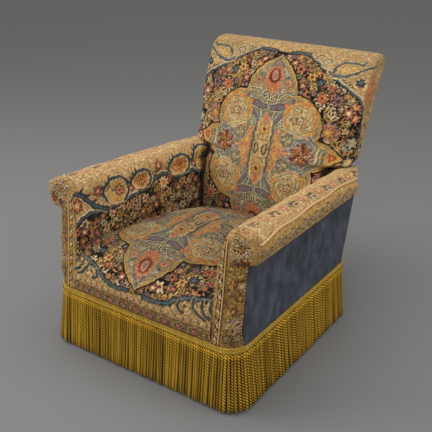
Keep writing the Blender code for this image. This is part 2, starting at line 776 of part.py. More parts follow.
def make_pipings():
    front = [
        Vector((FACE_PIPING_X, face_y(z) - 0.0015, z))
        for z in (0.2062, 0.25, 0.30, 0.35, 0.40, 0.45, 0.49, 0.515, 0.527)
    ]
    piping("facing_piping", front, FACE_PIPING_RADIUS)
    out = PIPING_RADIUS + 2 * GAP
    end = BAND_REAR_Y + 0.006
    start = face_y(0.50) + FACING_EDGE + FACING_THICK + 0.004
    top = []
    for k in range(15):
        y = end + (start - end) * k / 14
        x, z = roll_point(y, PIPING_ANGLE, out)
        top.append(Vector((x, y, z)))
    piping("arm_piping", top, PIPING_RADIUS)


def make_guard_stripes():
    """Narrow patterned strip along the front edge of the inside arm."""
    outer, inner = [], []
    for z in (0.2062, 0.24, 0.28, 0.32, 0.36, 0.39, 0.42, 0.44, 0.456, 0.47, 0.485, 0.50):
        y = face_y(z)
        if z < 0.456:
            low_x = arm_inner_x(y, z) + CLEAR
        else:
            low_x = roll_x(y) - between(((0.456, 0.062), (0.50, 0.0545)), z) + CLEAR
        high_x = FACE_PIPING_X - FACE_PIPING_RADIUS - GAP
        outer.append([(low_x, y - 0.0007, z), (high_x, y - 0.0007, z)])
        inner.append([(low_x, y + 0.0005, z), (high_x, y + 0.0005, z)])
    add_pair("guard_stripe", skin_of(outer, inner), guard_cloth(), smooth=False)


# Plain outside covers
def make_outside_arm():
    """Plain cover from the front corner, along the side and round the rear corner to the back post."""
    def height(y, way):
        return COVER_LOW + (roll_z(y) - toward_rear(y, 0.0454, 0.0208) - COVER_LOW) * way

    outer, inner = [], []
    for way in (0.0, 0.037, 0.16, 0.30, 0.44, 0.58, 0.72, 0.86, 1.0):
        start, end = BODY_FRONT, BODY_REAR
        for again in range(4):
            start = face_y(height(start, way)) + FRONT_RADIUS * (1 - math.cos(FACING_WRAP)) + 0.0025
            end = rear_y(height(end, way)) - REAR_RADIUS
        out_row, in_row = [], []
        for share in (0.0, 0.033, 0.18, 0.38, 0.58, 0.78, 0.92):
            y = start + (end - start) * share
            z = height(y, way)
            x = BODY_HALF - edge_depth(FRONT_RADIUS, y - face_y(z))
            out_row.append((x, y, z))
            in_row.append((x - VELVET_THICK, y, z))
        centre = BODY_HALF - REAR_RADIUS
        for row, radius in ((out_row, REAR_RADIUS), (in_row, REAR_RADIUS - VELVET_THICK)):
            for step in range(6):
                turn = math.pi / 2 * step / 5
                y = end + radius * math.sin(turn)
                row.append((centre + radius * math.cos(turn), y, height(y, way)))
            row.append((POST_OUTER + CLEAR, end + radius, height(end + radius, way)))
        outer.append(out_row)
        inner.append(in_row)
    add_pair("outside_arm", skin_of(outer, inner), blue_velvet())


def outside_back_row(z, depth):
    """Plan of the outside back at one height, eased off at its edges above the arms."""
    rear, ease = rear_y(z), 0.003 * min(1.0, max(0.0, z - 0.44) / 0.05)
    columns = ((POST_OUTER, 1.0), (0.284, 0.3), (0.27, 0.0), (0.14, 0.0), (0.0, 0.0))
    row = [(x, rear - depth - ease * share, z) for x, share in columns]
    return row + [(-x, y, z) for x, y, z in reversed(row[:-1])]


def make_outside_back():
    heights = (
        0.19, 0.20, 0.25, 0.29, 0.322, 0.354, 0.388, 0.42, 0.45, 0.47, 0.49, 0.515, 0.54, 0.60, 0.66,
        0.718, 0.76, 0.798,
    )
    outer = [outside_back_row(z, 0.0) for z in heights]
    inner = [outside_back_row(z, VELVET_THICK) for z in heights]
    add("outside_back", skin_of(outer, inner), blue_velvet())


# Braid and fringe
def make_braid():
    """Flat heading with a cord along its top edge, round the whole body."""
    height = BRAID_TOP - BRAID_LOW
    rows = []
    for place, normal in body_plan(0, line_steps=2, arc_steps=8):
        profile = [
            (CLEAR, BRAID_LOW), (BRAID_THICK, BRAID_LOW), (BRAID_THICK + 0.0006, BRAID_LOW + 0.5 * height),
            (BRAID_THICK, BRAID_TOP - BRAID_CORD), (BRAID_THICK + 0.0022, BRAID_TOP - 0.4 * BRAID_CORD),
            (BRAID_THICK + 0.0018, BRAID_TOP + 0.7 * BRAID_CORD), (0.0024, BRAID_TOP + BRAID_CORD),
            (CLEAR, BRAID_TOP + 0.2 * BRAID_CORD),
        ]
        rows.append([(*(place + normal * out), z) for out, z in profile])
    add("braid", tube_of(rows, joined=True), gold_trimming())


def make_fringe():
    """Bullion fringe: a ring of hanging cords, two plan points to a cord, flaring to the floor."""
    rows = []
    for k, (place, normal) in enumerate(body_plan(2 * FRINGE_CORDS)):
        ridge = FRINGE_RIDGE if k % 2 else -FRINGE_RIDGE
        cord = k // 2
        hem = FRINGE_HEM + 0.0020 * (1 + math.sin(cord * 1.7) * math.cos(cord * 0.61))
        sway = 0.0020 * math.sin(cord * 0.37) + 0.0012 * math.sin(cord * 1.13)
        thick = FRINGE_THICK
        profile = [
            (CLEAR, FRINGE_TOP), (CLEAR + thick * 0.6 + ridge * 0.5, FRINGE_TOP),
            (FRINGE_FLARE + sway + thick + ridge, hem), (FRINGE_FLARE + sway, hem),
        ]
        rows.append([(*(place + normal * out), z) for out, z in profile])
    add("bullion_fringe", tube_of(rows, joined=True), gold_trimming())


def main():
    clear_scene()
    empty = bpy.data.objects.new("armchair", None)
    empty.location = (0.0, -box_middle_y(), 0.0)
    bpy.context.scene.collection.objects.link(empty)
    make_seat_frame()
    make_back_frame()
    make_arm_frame()
    make_seat_springing()
    make_back_springing()
    make_arm_canvas()
    make_bottom_lining()
    make_seat_pad()
    make_back_pad()
    make_arm_pad()
    make_arm_facing()
    make_arm_band()
    make_pipings()
    make_guard_stripes()
    make_outside_arm()
    make_outside_back()
    make_braid()
    make_fringe()


main()
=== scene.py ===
import math

import bmesh
import bpy
import numpy as np
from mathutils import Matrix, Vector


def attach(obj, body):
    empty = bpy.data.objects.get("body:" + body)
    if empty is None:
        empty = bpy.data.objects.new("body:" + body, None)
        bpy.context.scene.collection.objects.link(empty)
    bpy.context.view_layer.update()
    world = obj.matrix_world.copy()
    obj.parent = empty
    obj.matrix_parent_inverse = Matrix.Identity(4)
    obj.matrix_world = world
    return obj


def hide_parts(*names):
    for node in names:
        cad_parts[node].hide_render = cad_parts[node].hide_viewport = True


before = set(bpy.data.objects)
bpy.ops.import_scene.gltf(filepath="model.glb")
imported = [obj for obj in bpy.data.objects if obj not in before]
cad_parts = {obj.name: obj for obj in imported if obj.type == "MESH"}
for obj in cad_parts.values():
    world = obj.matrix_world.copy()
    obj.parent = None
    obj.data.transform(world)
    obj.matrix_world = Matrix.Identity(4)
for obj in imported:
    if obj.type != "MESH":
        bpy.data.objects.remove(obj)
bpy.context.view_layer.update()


# Photographer's studio
# A low easy chair on a plain pale floor, seen from its front right and from above.
# Wide soft lamps hang at the left, in front, overhead and at the right of a bright room.
CAMERA_LENS, SENSOR_WIDTH = 57.476, 36.0
CAMERA_PITCH = math.radians(23.8211)
CAMERA_TURN = math.radians(34.8282)
CAMERA_BACK = 2.0155
CAMERA_ASIDE = 0.0376
CAMERA_HEIGHT = 1.2906
MIDDLE_Y = 0.1292
FLOOR_GREY, FLOOR_HALF = 0.195, 12.0
LAMP_AIM = (0.0, 0.0, 0.4)
LAMPS = (
    ("left_lamp", (-2.6, -1.7, 2.3), (1.8, 1.8), 52.0),
    ("front_lamp", (0.9, -3.0, 2.2), (1.8, 1.6), 23.0),
    ("top_lamp", (-0.2, 0.2, 3.2), (2.4, 2.4), 38.0),
    ("right_lamp", (2.8, 0.6, 1.9), (1.4, 1.4), 18.0),
)
ROOM_COLOUR, ROOM_STRENGTH = (1.0, 0.98, 0.95, 1.0), 0.50

camera = bpy.data.objects.new("camera", bpy.data.cameras.new("camera"))
camera.data.lens = CAMERA_LENS
camera.data.sensor_width = SENSOR_WIDTH
camera.location = (
    CAMERA_BACK * math.sin(CAMERA_TURN) + CAMERA_ASIDE * math.cos(CAMERA_TURN),
    -CAMERA_BACK * math.cos(CAMERA_TURN) + CAMERA_ASIDE * math.sin(CAMERA_TURN) - MIDDLE_Y,
    CAMERA_HEIGHT,
)
camera.rotation_euler = (math.pi / 2 - CAMERA_PITCH, 0.0, CAMERA_TURN)
bpy.context.scene.collection.objects.link(camera)
bpy.context.scene.camera = camera
bpy.context.scene.view_settings.view_transform = "Standard"


def plain_finish(name, colour, roughness):
    """A Principled material with its nodes, links and shader at hand."""
    material = bpy.data.materials.new(name)
    material.use_nodes = True
    nodes, links = material.node_tree.nodes, material.node_tree.links
    shader = nodes["Principled BSDF"]
    shader.inputs["Base Color"].default_value = (*colour, 1.0)
    shader.inputs["Roughness"].default_value = roughness
    return material, nodes, links, shader


def make_floor():
    """A wide plain floor, which isn't part of the chair."""
    shape = bmesh.new()
    bmesh.ops.create_grid(shape, x_segments=2, y_segments=2, size=FLOOR_HALF)
    mesh = bpy.data.meshes.new("studio_floor")
    shape.to_mesh(mesh)
    shape.free()
    floor = bpy.data.objects.new("studio_floor", mesh)
    bpy.context.scene.collection.objects.link(floor)
    floor.data.materials.append(plain_finish("studio_floor", (FLOOR_GREY,) * 3, 0.9)[0])


def hang_lamp(name, place, size, power):
    """A soft lamp turned to the chair."""
    lamp = bpy.data.objects.new(name, bpy.data.lights.new(name, "AREA"))
    lamp.data.shape = "RECTANGLE"
    lamp.data.size, lamp.data.size_y = size
    lamp.data.energy = power
    lamp.location = place
    way = Vector(LAMP_AIM) - Vector(place)
    lamp.rotation_euler = way.to_track_quat("-Z", "Y").to_euler()
    bpy.context.scene.collection.objects.link(lamp)


make_floor()
for lamp in LAMPS:
    hang_lamp(*lamp)
room = bpy.data.worlds.new("room")
room.use_nodes = True
room_light = room.node_tree.nodes["Background"]
room_light.inputs["Color"].default_value = ROOM_COLOUR
room_light.inputs["Strength"].default_value = ROOM_STRENGTH
bpy.context.scene.world = room


# Seat frame and back frame
# Beech rails, legs and posts, doweled together and left rough, because the covers hide them.
# They keep their solids and get a straight-grained, dusty timber finish.
def object_noise(nodes, links, scale, detail=2.0):
    """A noise on the piece's own place, at a scale along x, y and z."""
    place = nodes.new("ShaderNodeTexCoord")
    turn = nodes.new("ShaderNodeMapping")
    turn.inputs["Scale"].default_value = scale
    noise = nodes.new("ShaderNodeTexNoise")
    noise.inputs["Scale"].default_value = 1.0
    noise.inputs["Detail"].default_value = detail
    links.new(place.outputs["Object"], turn.inputs["Vector"])
    links.new(turn.outputs["Vector"], noise.inputs["Vector"])
    return noise


def colour_steps(nodes, links, value, steps):
    """Turns a value into colour by a ramp with the given places and colours."""
    ramp = nodes.new("ShaderNodeValToRGB")
    while len(ramp.color_ramp.elements) < len(steps):
        ramp.color_ramp.elements.new(0.5)
    for element, (place, colour) in zip(ramp.color_ramp.elements, steps):
        element.position = place
        element.color = (*colour, 1.0)
    links.new(value, ramp.inputs["Fac"])
    return ramp.outputs["Color"]


def raise_by(nodes, links, shader, height, strength, distance):
    """Relief on a finish from a value."""
    bump = nodes.new("ShaderNodeBump")
    bump.inputs["Strength"].default_value = strength
    bump.inputs["Distance"].default_value = distance
    links.new(height, bump.inputs["Height"])
    links.new(bump.outputs["Normal"], shader.inputs["Normal"])


def noise_finish(name, colour, roughness, scale, detail, steps, relief=None):
    """A finish whose colour, and relief where there is any, follow one noise."""
    material, nodes, links, shader = plain_finish(name, colour, roughness)
    noise = object_noise(nodes, links, scale, detail).outputs["Fac"]
    links.new(colour_steps(nodes, links, noise, steps), shader.inputs["Base Color"])
    if relief:
        raise_by(nodes, links, shader, noise, *relief)
    return material


def dress(names, material):
    """Gives CAD nodes a better finish in their own slots."""
    for name in names:
        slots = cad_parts[name].data.materials
        for k in range(len(slots)):
            slots[k] = material


BEECH_GRAIN = (
    (0.25, (0.20, 0.115, 0.055)), (0.55, (0.36, 0.22, 0.115)), (0.85, (0.47, 0.31, 0.17))
)
beech = noise_finish(
    "old_beech", (0.4, 0.26, 0.14), 0.65, (60.0, 60.0, 5.0), 5.0, BEECH_GRAIN, (0.4, 0.001)
)
pairs = ("side_rail", "front_leg", "back_post", "arm_stump", "arm_rail", "arm_tack_rail")
timbers = ["front_rail", "back_rail", "top_rail", "lower_back_rail"]
timbers += [name + side for name in pairs for side in ("_left", "_right")]
dress(timbers, beech)


# Webbing, springs and hessian
# Jute webbing carries nine coil springs, and hessian closes them in below the stuffing.
# Everything here is hidden by the covers and keeps its solids.
JUTE = ((0.3, (0.20, 0.13, 0.07)), (0.7, (0.42, 0.30, 0.17)))
TARNISH = ((0.35, (0.20, 0.12, 0.08)), (0.65, (0.46, 0.36, 0.29)))
DUSTY_BLACK = ((0.3, (0.014, 0.013, 0.012)), (0.75, (0.05, 0.045, 0.038)))

hessian = noise_finish(
    "hessian", (0.35, 0.24, 0.13), 0.95, (700.0, 700.0, 700.0), 1.0, JUTE, (0.5, 0.0008)
)
canvases = ["spring_canvas", "back_canvas", "inside_arm_canvas_left", "inside_arm_canvas_right"]
dress(["seat_webbing", *canvases], hessian)

steel = noise_finish("coppered_steel", (0.42, 0.33, 0.26), 0.38, (90.0, 90.0, 90.0), 4.0, TARNISH)
steel.node_tree.nodes["Principled BSDF"].inputs["Metallic"].default_value = 1.0
dress(["seat_spring_%d" % (k + 1) for k in range(9)], steel)

lining = noise_finish(
    "black_lining", (0.02, 0.018, 0.016), 0.95, (25.0, 25.0, 25.0), 6.0, DUSTY_BLACK, (0.3, 0.001)
)
dress(["bottom_lining"], lining)


# Stuffed back
# Horsehair and wadding on canvas, rolled over at the top and pulled in between the arms.
# Its cover is cut-pile moquette woven as a Persian carpet, with one medallion.
REAR_LINE = (
    (0.00, 0.328), (0.20, 0.345), (0.25, 0.357), (0.29, 0.370), (0.354, 0.387), (0.42, 0.405),
    (0.45, 0.416), (0.49, 0.440), (0.54, 0.476), (0.60, 0.516), (0.718, 0.569), (0.80, 0.604),
    (0.82, 0.611), (0.838, 0.613), (0.850, 0.605), (0.857, 0.587),
)
BACK_CENTRE_LINE = (
    (0.24, 0.2945), (0.33, 0.2925), (0.42, 0.300), (0.50, 0.318), (0.555, 0.340), (0.65, 0.382),
    (0.74, 0.420), (0.80, 0.455), (0.82, 0.473), (0.838, 0.496), (0.850, 0.520), (0.857, 0.544),
)
BACK_EDGE_LINE = (
    (0.24, 0.306), (0.33, 0.308), (0.42, 0.322), (0.50, 0.362), (0.54, 0.410), (0.60, 0.421),
    (0.66, 0.433), (0.73, 0.460), (0.78, 0.483), (0.82, 0.503), (0.838, 0.518), (0.850, 0.532),
    (0.857, 0.550),
)
BACK_HALF_LINE = (
    (0.24, 0.2322), (0.503, 0.2322), (0.514, 0.303), (0.526, 0.316), (0.66, 0.318), (0.80, 0.323),
    (0.82, 0.323), (0.838, 0.322), (0.850, 0.317), (0.857, 0.309),
)
BACK_LOW, BACK_TOP = 0.262, 0.857
BACK_CROWN = 2.4
BACK_MEDALLION_UP = 28.0
BACK_WING_HALF = 0.2915
ARM_TOP_FROM, ARM_TOP_TO = 0.503, 0.526
ARM_END_BEFORE_REAR = 0.047
TOP_HALF = 0.296
PANEL_THICK = 0.0045
STITCH = 0.0027
PANEL_END_FROM, PANEL_END_TO = 0.792, 0.802
BACK_SIDE_SHARE = 0.45
WING_GAP, WING_STEP = 0.004, 0.002
FRONT_POINTS, REAR_POINTS = 237, 42
SIDE_POINTS = (10, 7, 8)
FINE_STEPS = 1500
ROUNDS_ACROSS, ROUNDS_UP = 10, 4
TOP_SHARES, TOP_CROWN, TOP_STEP = (0.2, 0.45, 0.72, 1.0), 0.0022, 0.006
BACK_LUMPS = ((0.11, 0.0022, 3), (0.045, 0.0007, 4))
BACK_LUMPS_FROM, BACK_LUMPS_TO = 0.27, 0.36
TOP_LIFT, TOP_TILT, TILT_FROM = 0.006, 0.016, 0.62
PATTERN_SLIP, SLIP_FROM, SLIP_TO = 0.7, 28.0, 55.0
# Painted shade: the top roll of the back's cover is darkened by this share, between these distances
# up its cover in centimetres.
TOP_PAINTED_SHADE, TOP_DARK_FROM, TOP_DARK_TO = 0.20, 55.0, 63.0
# Painted shade: the left side of the back's front is darkened by this share, from these distances
# left of the middle in metres.
LEFT_PAINTED_SHADE, LEFT_DARK_FROM, LEFT_DARK_TO = 0.10, 0.10, 0.24
# Painted shade in the creases between the back and the arms: its share, the band near the back's
# side edges, and the height where it fades out.
BACK_CREASE_PAINTED_SHADE = 0.75
BACK_CREASE_FROM, BACK_CREASE_TO = 0.216, 0.231
BACK_CREASE_TOP, BACK_CREASE_FADE = 0.515, 0.02


def smooth(knots, at):
    """Reads a line of (place, value) pairs as a smooth curve."""
    places, values = np.array(knots, float).T
    rise = np.diff(values) / np.diff(places)
    same = rise[:-1] * rise[1:] > 0
    both = np.where(same, rise[:-1] + rise[1:], 1.0)
    middle = np.where(same, 2 * rise[:-1] * rise[1:] / both, 0.0)
    slope = np.concatenate([rise[:1], middle, rise[-1:]])
    at = np.clip(at, places[0], places[-1])
    k = np.clip(np.searchsorted(places, at) - 1, 0, len(places) - 2)
    wide = places[k + 1] - places[k]
    t = (at - places[k]) / wide
    near = (2 * t ** 3 - 3 * t ** 2 + 1) * values[k] + (t ** 3 - 2 * t ** 2 + t) * wide * slope[k]
    far = (3 * t ** 2 - 2 * t ** 3) * values[k + 1] + (t ** 3 - t ** 2) * wide * slope[k + 1]
    return near + far


def ease(value, low, high):
    """From 0 to 1 between two values, soft at both ends."""
    share = np.clip((value - low) / (high - low), 0.0, 1.0)
    return share * share * (3 - 2 * share)


def rear_y(z):
    """How far back the frame's rear line lies at a height."""
    return smooth(REAR_LINE, z)


def run_of(a, b, axis=0):
    """How far along its line each point lies, from two of the line's coordinates."""
    steps = np.hypot(np.diff(a, axis=axis), np.diff(b, axis=axis)).cumsum(axis)
    return np.concatenate([np.zeros_like(np.take(steps, [0], axis)), steps], axis)


def relax(line, times):
    """Evens out the points or rows of a line, with its two ends held."""
    for again in range(times):
        line[1:-1] = (line[:-2] + 2 * line[1:-1] + line[2:]) / 4


def join_ends(grid, axis):
    """Repeats the first row or column after the last, so that a cover closes on itself."""
    return np.concatenate([grid, np.take(grid, [0], axis)], axis)


def lumps(a, b, size, seed):
    """Soft, even unevenness of stuffing, about -1 to 1, over two surface distances in metres."""
    draw = np.random.default_rng(seed)
    total = np.zeros(np.broadcast(a, b).shape)
    for turn, shift in draw.uniform(0, 2 * math.pi, (9, 2)):
        stretch = draw.uniform(0.6, 1.5) * 2 * math.pi / size
        total += np.sin(stretch * (a * math.cos(turn) + b * math.sin(turn)) + shift)
    return total / 4.0


def stuffing(a, b, layers):
    """Lumps of several sizes, each with its height and its draw."""
    return sum(lumps(a, b, size, seed) * height for size, height, seed in layers)


def lattice(name, points, material, closed=False, dyes=None, threads=None):
    """A cover from a grid of points [row, column], or several grids [grid, row, column] as one."""
    rows, columns = points.shape[-3:-1]
    points = points.reshape(-1, rows, columns, 3)
    shape = bmesh.new()
    for grid in points:
        bmesh.ops.create_grid(shape, x_segments=columns - 1, y_segments=rows - 1, size=0.5)
    mesh = bpy.data.meshes.new(name)
    shape.to_mesh(mesh)
    shape.free()
    flat = np.empty(len(mesh.vertices) * 3)
    mesh.vertices.foreach_get("co", flat)
    flat = flat.reshape(-1, 3)
    column = np.rint((flat[:, 0] + 0.5) * (columns - 1)).astype(int)
    row = np.rint((flat[:, 1] + 0.5) * (rows - 1)).astype(int)
    at = (np.arange(len(flat)) // (rows * columns), row, column)
    mesh.vertices.foreach_set("co", (points[at] - np.array((0.0, MIDDLE_Y, 0.0))).ravel())
    # The dye attribute of the covers also carries the painted shade multiplied into it.
    for label, kind, key, blank, values in (
        ("dye", "FLOAT_COLOR", "color", (1.0, 1.0, 1.0, 1.0), dyes),
        ("thread", "FLOAT_VECTOR", "vector", (0.0, 0.0, 0.0), threads),
    ):
        if values is not None:
            run = np.tile(blank, (len(flat), 1))
            run[:, :values.shape[-1]] = values.reshape(*points.shape[:3], -1)[at]
            mesh.attributes.new(label, kind, "POINT").data.foreach_set(key, run.ravel())
    if closed:
        shape = bmesh.new()
        shape.from_mesh(mesh)
        bmesh.ops.remove_doubles(shape, verts=shape.verts, dist=0.00002)
        rims = [edge for edge in shape.edges if edge.is_boundary]
        if rims:
            bmesh.ops.holes_fill(shape, edges=rims)
        bmesh.ops.recalc_face_normals(shape, faces=shape.faces)
        shape.to_mesh(mesh)
        shape.free()
    mesh.shade_smooth()
    piece = bpy.data.objects.new(name, mesh)
    piece.data.materials.append(material)
    bpy.context.scene.collection.objects.link(piece)
    return piece


def linear(red, green, blue):
    """A colour as seen on screen, 0 to 255, as light."""
    seen = np.array((red, green, blue), float) / 255.0
    return np.where(seen <= 0.04045, seen / 12.92, ((seen + 0.055) / 1.055) ** 2.4)


DYES = {
    "night": linear(24, 19, 20), "umber": linear(60, 42, 32), "sand": linear(182, 149, 100),
    "gold": linear(194, 152, 82), "ochre": linear(152, 112, 54), "cream": linear(216, 190, 142),
    "sage": linear(132, 124, 92), "teal": linear(60, 80, 86), "deep_teal": linear(34, 46, 52),
    "slate": linear(94, 100, 102), "mauve": linear(124, 101, 102), "salmon": linear(198, 122, 88),
    "rose": linear(184, 124, 102), "orange": linear(190, 112, 60), "rust": linear(116, 46, 30),
    "leaf": linear(76, 76, 52), "tan": linear(150, 114, 74), "pale": linear(178, 168, 138),
}
RUBBED_PILE = linear(150, 122, 84)


def round_about(at, reach, turn, tall=1.0):
    """The place at a distance and a turn from another."""
    return (at[0] + reach * math.cos(turn), at[1] + reach * tall * math.sin(turn))


def one_of(words, k):
    """The dyes of a list in turn."""
    words = words.split()
    return words[k % len(words)]


class Pattern:
    """Dyes laid one over another on a cover, by its distances across and along in centimetres."""

    CELL = 2.0
    SOFT = 0.15

    def __init__(self, across, along, ground):
        x, y = across.ravel(), along.ravel()
        self.x = x + 0.13 * np.sin(1.7 * y + 1.1 * np.sin(0.9 * x))
        self.x += 0.04 * np.sin(5.3 * y - 1.3 * x)
        self.y = y + 0.13 * np.sin(1.6 * x + 1.2 * np.sin(1.1 * y))
        self.y += 0.04 * np.sin(4.9 * x + 1.9 * y)
        self.colour = np.tile(DYES[ground], (self.x.size, 1))
        self.shape = across.shape
        self.low = (self.x.min(), self.y.min())
        self.columns = int((self.x.max() - self.low[0]) / self.CELL) + 1
        self.rows = int((self.y.max() - self.low[1]) / self.CELL) + 1
        cells = ((self.y - self.low[1]) / self.CELL).astype(int) * self.columns
        cells += ((self.x - self.low[0]) / self.CELL).astype(int)
        self.order = np.argsort(cells, kind="stable")
        self.starts = np.searchsorted(cells[self.order], np.arange(self.columns * self.rows + 1))

    def near(self, x, y, reach):
        """The points of the cover in the cells round a place."""
        first, last = (int((x + side - self.low[0]) // self.CELL) for side in (-reach, reach))
        low, high = (int((y + side - self.low[1]) // self.CELL) for side in (-reach, reach))
        first, last = max(0, first), min(self.columns - 1, last)
        found = [self.order[:0]]
        if first <= last:
            for row in range(max(0, low), min(self.rows - 1, high) + 1):
                start = row * self.columns
                found.append(self.order[self.starts[start + first]:self.starts[start + last + 1]])
        return np.concatenate(found)

    def lay(self, share, dye, where):
        """Dyes points by how far they lie inside an edge."""
        share = np.clip(share / self.SOFT + 0.5, 0.0, 1.0)[:, None]
        self.colour[where] += (DYES[dye] - self.colour[where]) * share

    def blob(self, at, radius, dye, petals=0, depth=0.25, turn=0.0, tall=1.0):
        """A round spot, or with petals a flower."""
        where = self.near(at[0], at[1], radius * max(1.0, tall) + 0.2)
        dx, dy = self.x[where] - at[0], (self.y[where] - at[1]) / tall
        edge = radius
        if petals:
            edge = radius * (1 - depth + depth * np.cos(petals * (np.arctan2(dy, dx) - turn)))
        self.lay(edge - np.hypot(dx, dy), dye, where)

    def leaf(self, at, length, width, turn, dye):
        """A pointed oval, turned to lie along its length."""
        where = self.near(at[0], at[1], length * 0.5 + 0.2)
        dx, dy = self.x[where] - at[0], self.y[where] - at[1]
        along = dx * math.cos(turn) + dy * math.sin(turn)
        aside = dy * math.cos(turn) - dx * math.sin(turn)
        self.lay(width / 2 * (1 - (2 * along / length) ** 2) - np.abs(aside), dye, where)

    def distances(self, points, closed):
        """The points of the cover near a line, how far off they are, and which are inside it."""
        points = np.array(points, float)
        middle = (points.max(0) + points.min(0)) / 2
        where = self.near(*middle, (points.max(0) - points.min(0)).max() / 2 + 1.2)
        x, y = self.x[where], self.y[where]
        least, inside = np.full(len(where), 99.0), np.zeros(len(where), bool)
        ends = np.roll(points, -1, axis=0) if closed else points[1:]
        for (ax, ay), (bx, by) in zip(points, ends):
            dx, dy = bx - ax, by - ay
            t = np.clip(((x - ax) * dx + (y - ay) * dy) / max(dx * dx + dy * dy, 1e-9), 0.0, 1.0)
            least = np.minimum(least, np.hypot(x - ax - t * dx, y - ay - t * dy))
            if closed and ay != by:
                inside ^= ((ay > y) != (by > y)) & (x < dx * (y - ay) / dy + ax)
        return where, least, inside

    def stroke(self, points, *bands, teeth=0.0):
        """A line of one or more bands, each a width and a dye, the widest first."""
        where, least = self.distances(points, False)[:2]
        if teeth:
            least = least + teeth * np.sin(7.0 * self.x[where]) * np.cos(6.0 * self.y[where])
        for width, dye in bands:
            self.lay(width / 2 - least, dye, where)

    def field(self, points, *bands):
        """A closed outline filled with bands, each a distance inside it and a dye."""
        where, least, inside = self.distances(points, True)
        deep = np.where(inside, least, -least)
        for inset, dye in bands:
            self.lay(deep - inset, dye, where)

    def flower(self, at, radius, petals, dyes, turn=0.3):
        """Petals with rims, parted almost to the heart."""
        shadow, rim, fill, heart = dyes.split()
        self.blob(at, radius + 0.40, shadow, petals, 0.13, turn)
        self.blob(at, radius, rim, petals, 0.22, turn)
        self.blob(at, radius - 0.27, fill, petals, 0.32, turn)
        for k in range(petals if radius > 1.8 else 0):
            way = turn + 2 * math.pi * k / petals
            self.leaf(round_about(at, 0.55 * radius, way), 0.8 * radius, 0.34, way, rim)
        self.blob(at, radius * 0.42, rim)
        self.blob(at, radius * 0.42 - 0.18, heart)

    def spray(self, at, length, turn, rim, fill):
        """Three leaves from one stalk."""
        for lean in (-0.75, 0.75, 0.0):
            way = turn + lean
            middle = round_about(at, 0.5 * length, way)
            self.leaf(middle, length, 0.46 * length, way, rim)
            self.leaf(middle, 0.74 * length, 0.24 * length, way, fill)

    def stitches(self, size, length, width, seed):
        """One short stroke in each cell of an uneven net: its edge at every point, and its lot."""
        draw = np.random.default_rng(seed)
        row = np.floor(self.y / size).astype(int)
        column = np.floor(self.x / size + 0.5 * (row % 2)).astype(int)
        lots = draw.uniform(0, 1, (np.ptp(row) + 1, np.ptp(column) + 1, 4))
        lot = lots[row - row.min(), column - column.min()]
        dx = self.x - (column + 0.5 - 0.5 * (row % 2) + 0.4 * (lot[:, 0] - 0.5)) * size
        dy = self.y - (row + 0.5 + 0.4 * (lot[:, 1] - 0.5)) * size
        turn = 2 * math.pi * lot[:, 2]
        along = (dx * np.cos(turn) + dy * np.sin(turn)) / (length / 2)
        aside = dy * np.cos(turn) - dx * np.sin(turn)
        return width / 2 * (1 - along ** 2) - np.abs(aside), lot[:, 3]

    def strew(self, ground, size, seed, dyes, length=0.9, width=0.32):
        """Short strokes of the given dyes wherever a ground shows."""
        edge, lot = self.stitches(size, length, width, seed)
        bare = np.abs(self.colour - DYES[ground]).max(1) < 0.015
        dyes = dyes.split()
        for k, dye in enumerate(dyes):
            where = np.nonzero(bare & (np.floor(lot * len(dyes)) == k))[0]
            self.lay(edge[where], dye, where)

    def nub(self, size, seed, strength):
        """Lighter and darker loops of the weave all over."""
        edge, lot = self.stitches(size, size * 1.5, size * 0.75, seed)
        share = np.clip(edge / self.SOFT + 0.5, 0.0, 1.0)
        self.colour *= (1 + share * strength * np.where(lot < 0.5, -0.75, 1.0))[:, None]

    def garden(self, spacing, seed, ground="night"):
        """Fills a dark ground with outlined flowers on stalks between leaves."""
        draw = np.random.default_rng(seed)
        spots = []
        for r in range(int(self.rows * self.CELL / spacing) + 2):
            for c in range(int(self.columns * self.CELL / spacing) + 2):
                lot = draw.uniform(0, 1, 6)
                x = self.low[0] + (c + 0.5 * (r % 2) + 0.45 * (lot[0] - 0.5)) * spacing
                y = self.low[1] + (r + 0.45 * (lot[1] - 0.5)) * spacing
                here = self.near(x, y, 0.1)
                if len(here):
                    here = here[np.argmin(np.hypot(self.x[here] - x, self.y[here] - y))]
                    if np.abs(self.colour[here] - DYES[ground]).max() < 0.015:
                        spots.append((x, y, lot))
        for x, y, lot in spots:
            turn, kind = lot[4] * 2 * math.pi, int(lot[2] * 8)
            stalk = [round_about((x, y), k * 0.24 * spacing, turn + 0.5 * k) for k in range(5)]
            self.stroke(stalk, (0.30, one_of("gold tan gold sage", kind)))
            rim = one_of("gold cream gold sand", kind + 1)
            fill = one_of("night umber leaf night", kind + 1)
            self.spray(stalk[3], 2.7 + 1.0 * lot[3], turn + 2.4, rim, fill)
        for x, y, lot in spots:
            kind = int(lot[2] * 8)
            rim = one_of("gold salmon cream sand cream salmon tan cream", kind)
            fill = one_of("umber rust umber orange salmon umber night rust", kind)
            heart = one_of("salmon night gold rust rust gold rose umber", kind)
            self.flower(
                (x, y), 1.25 + 0.8 * lot[5], 5 + kind % 3, f"night {rim} {fill} {heart}",
                lot[3] * 6.28
            )

    def done(self, seed=5):
        """The colours of all points, with the weave's loops over them."""
        self.nub(0.62, seed, 0.26)
        self.nub(0.37, seed + 1, 0.20)
        return self.colour.reshape(*self.shape, 3)


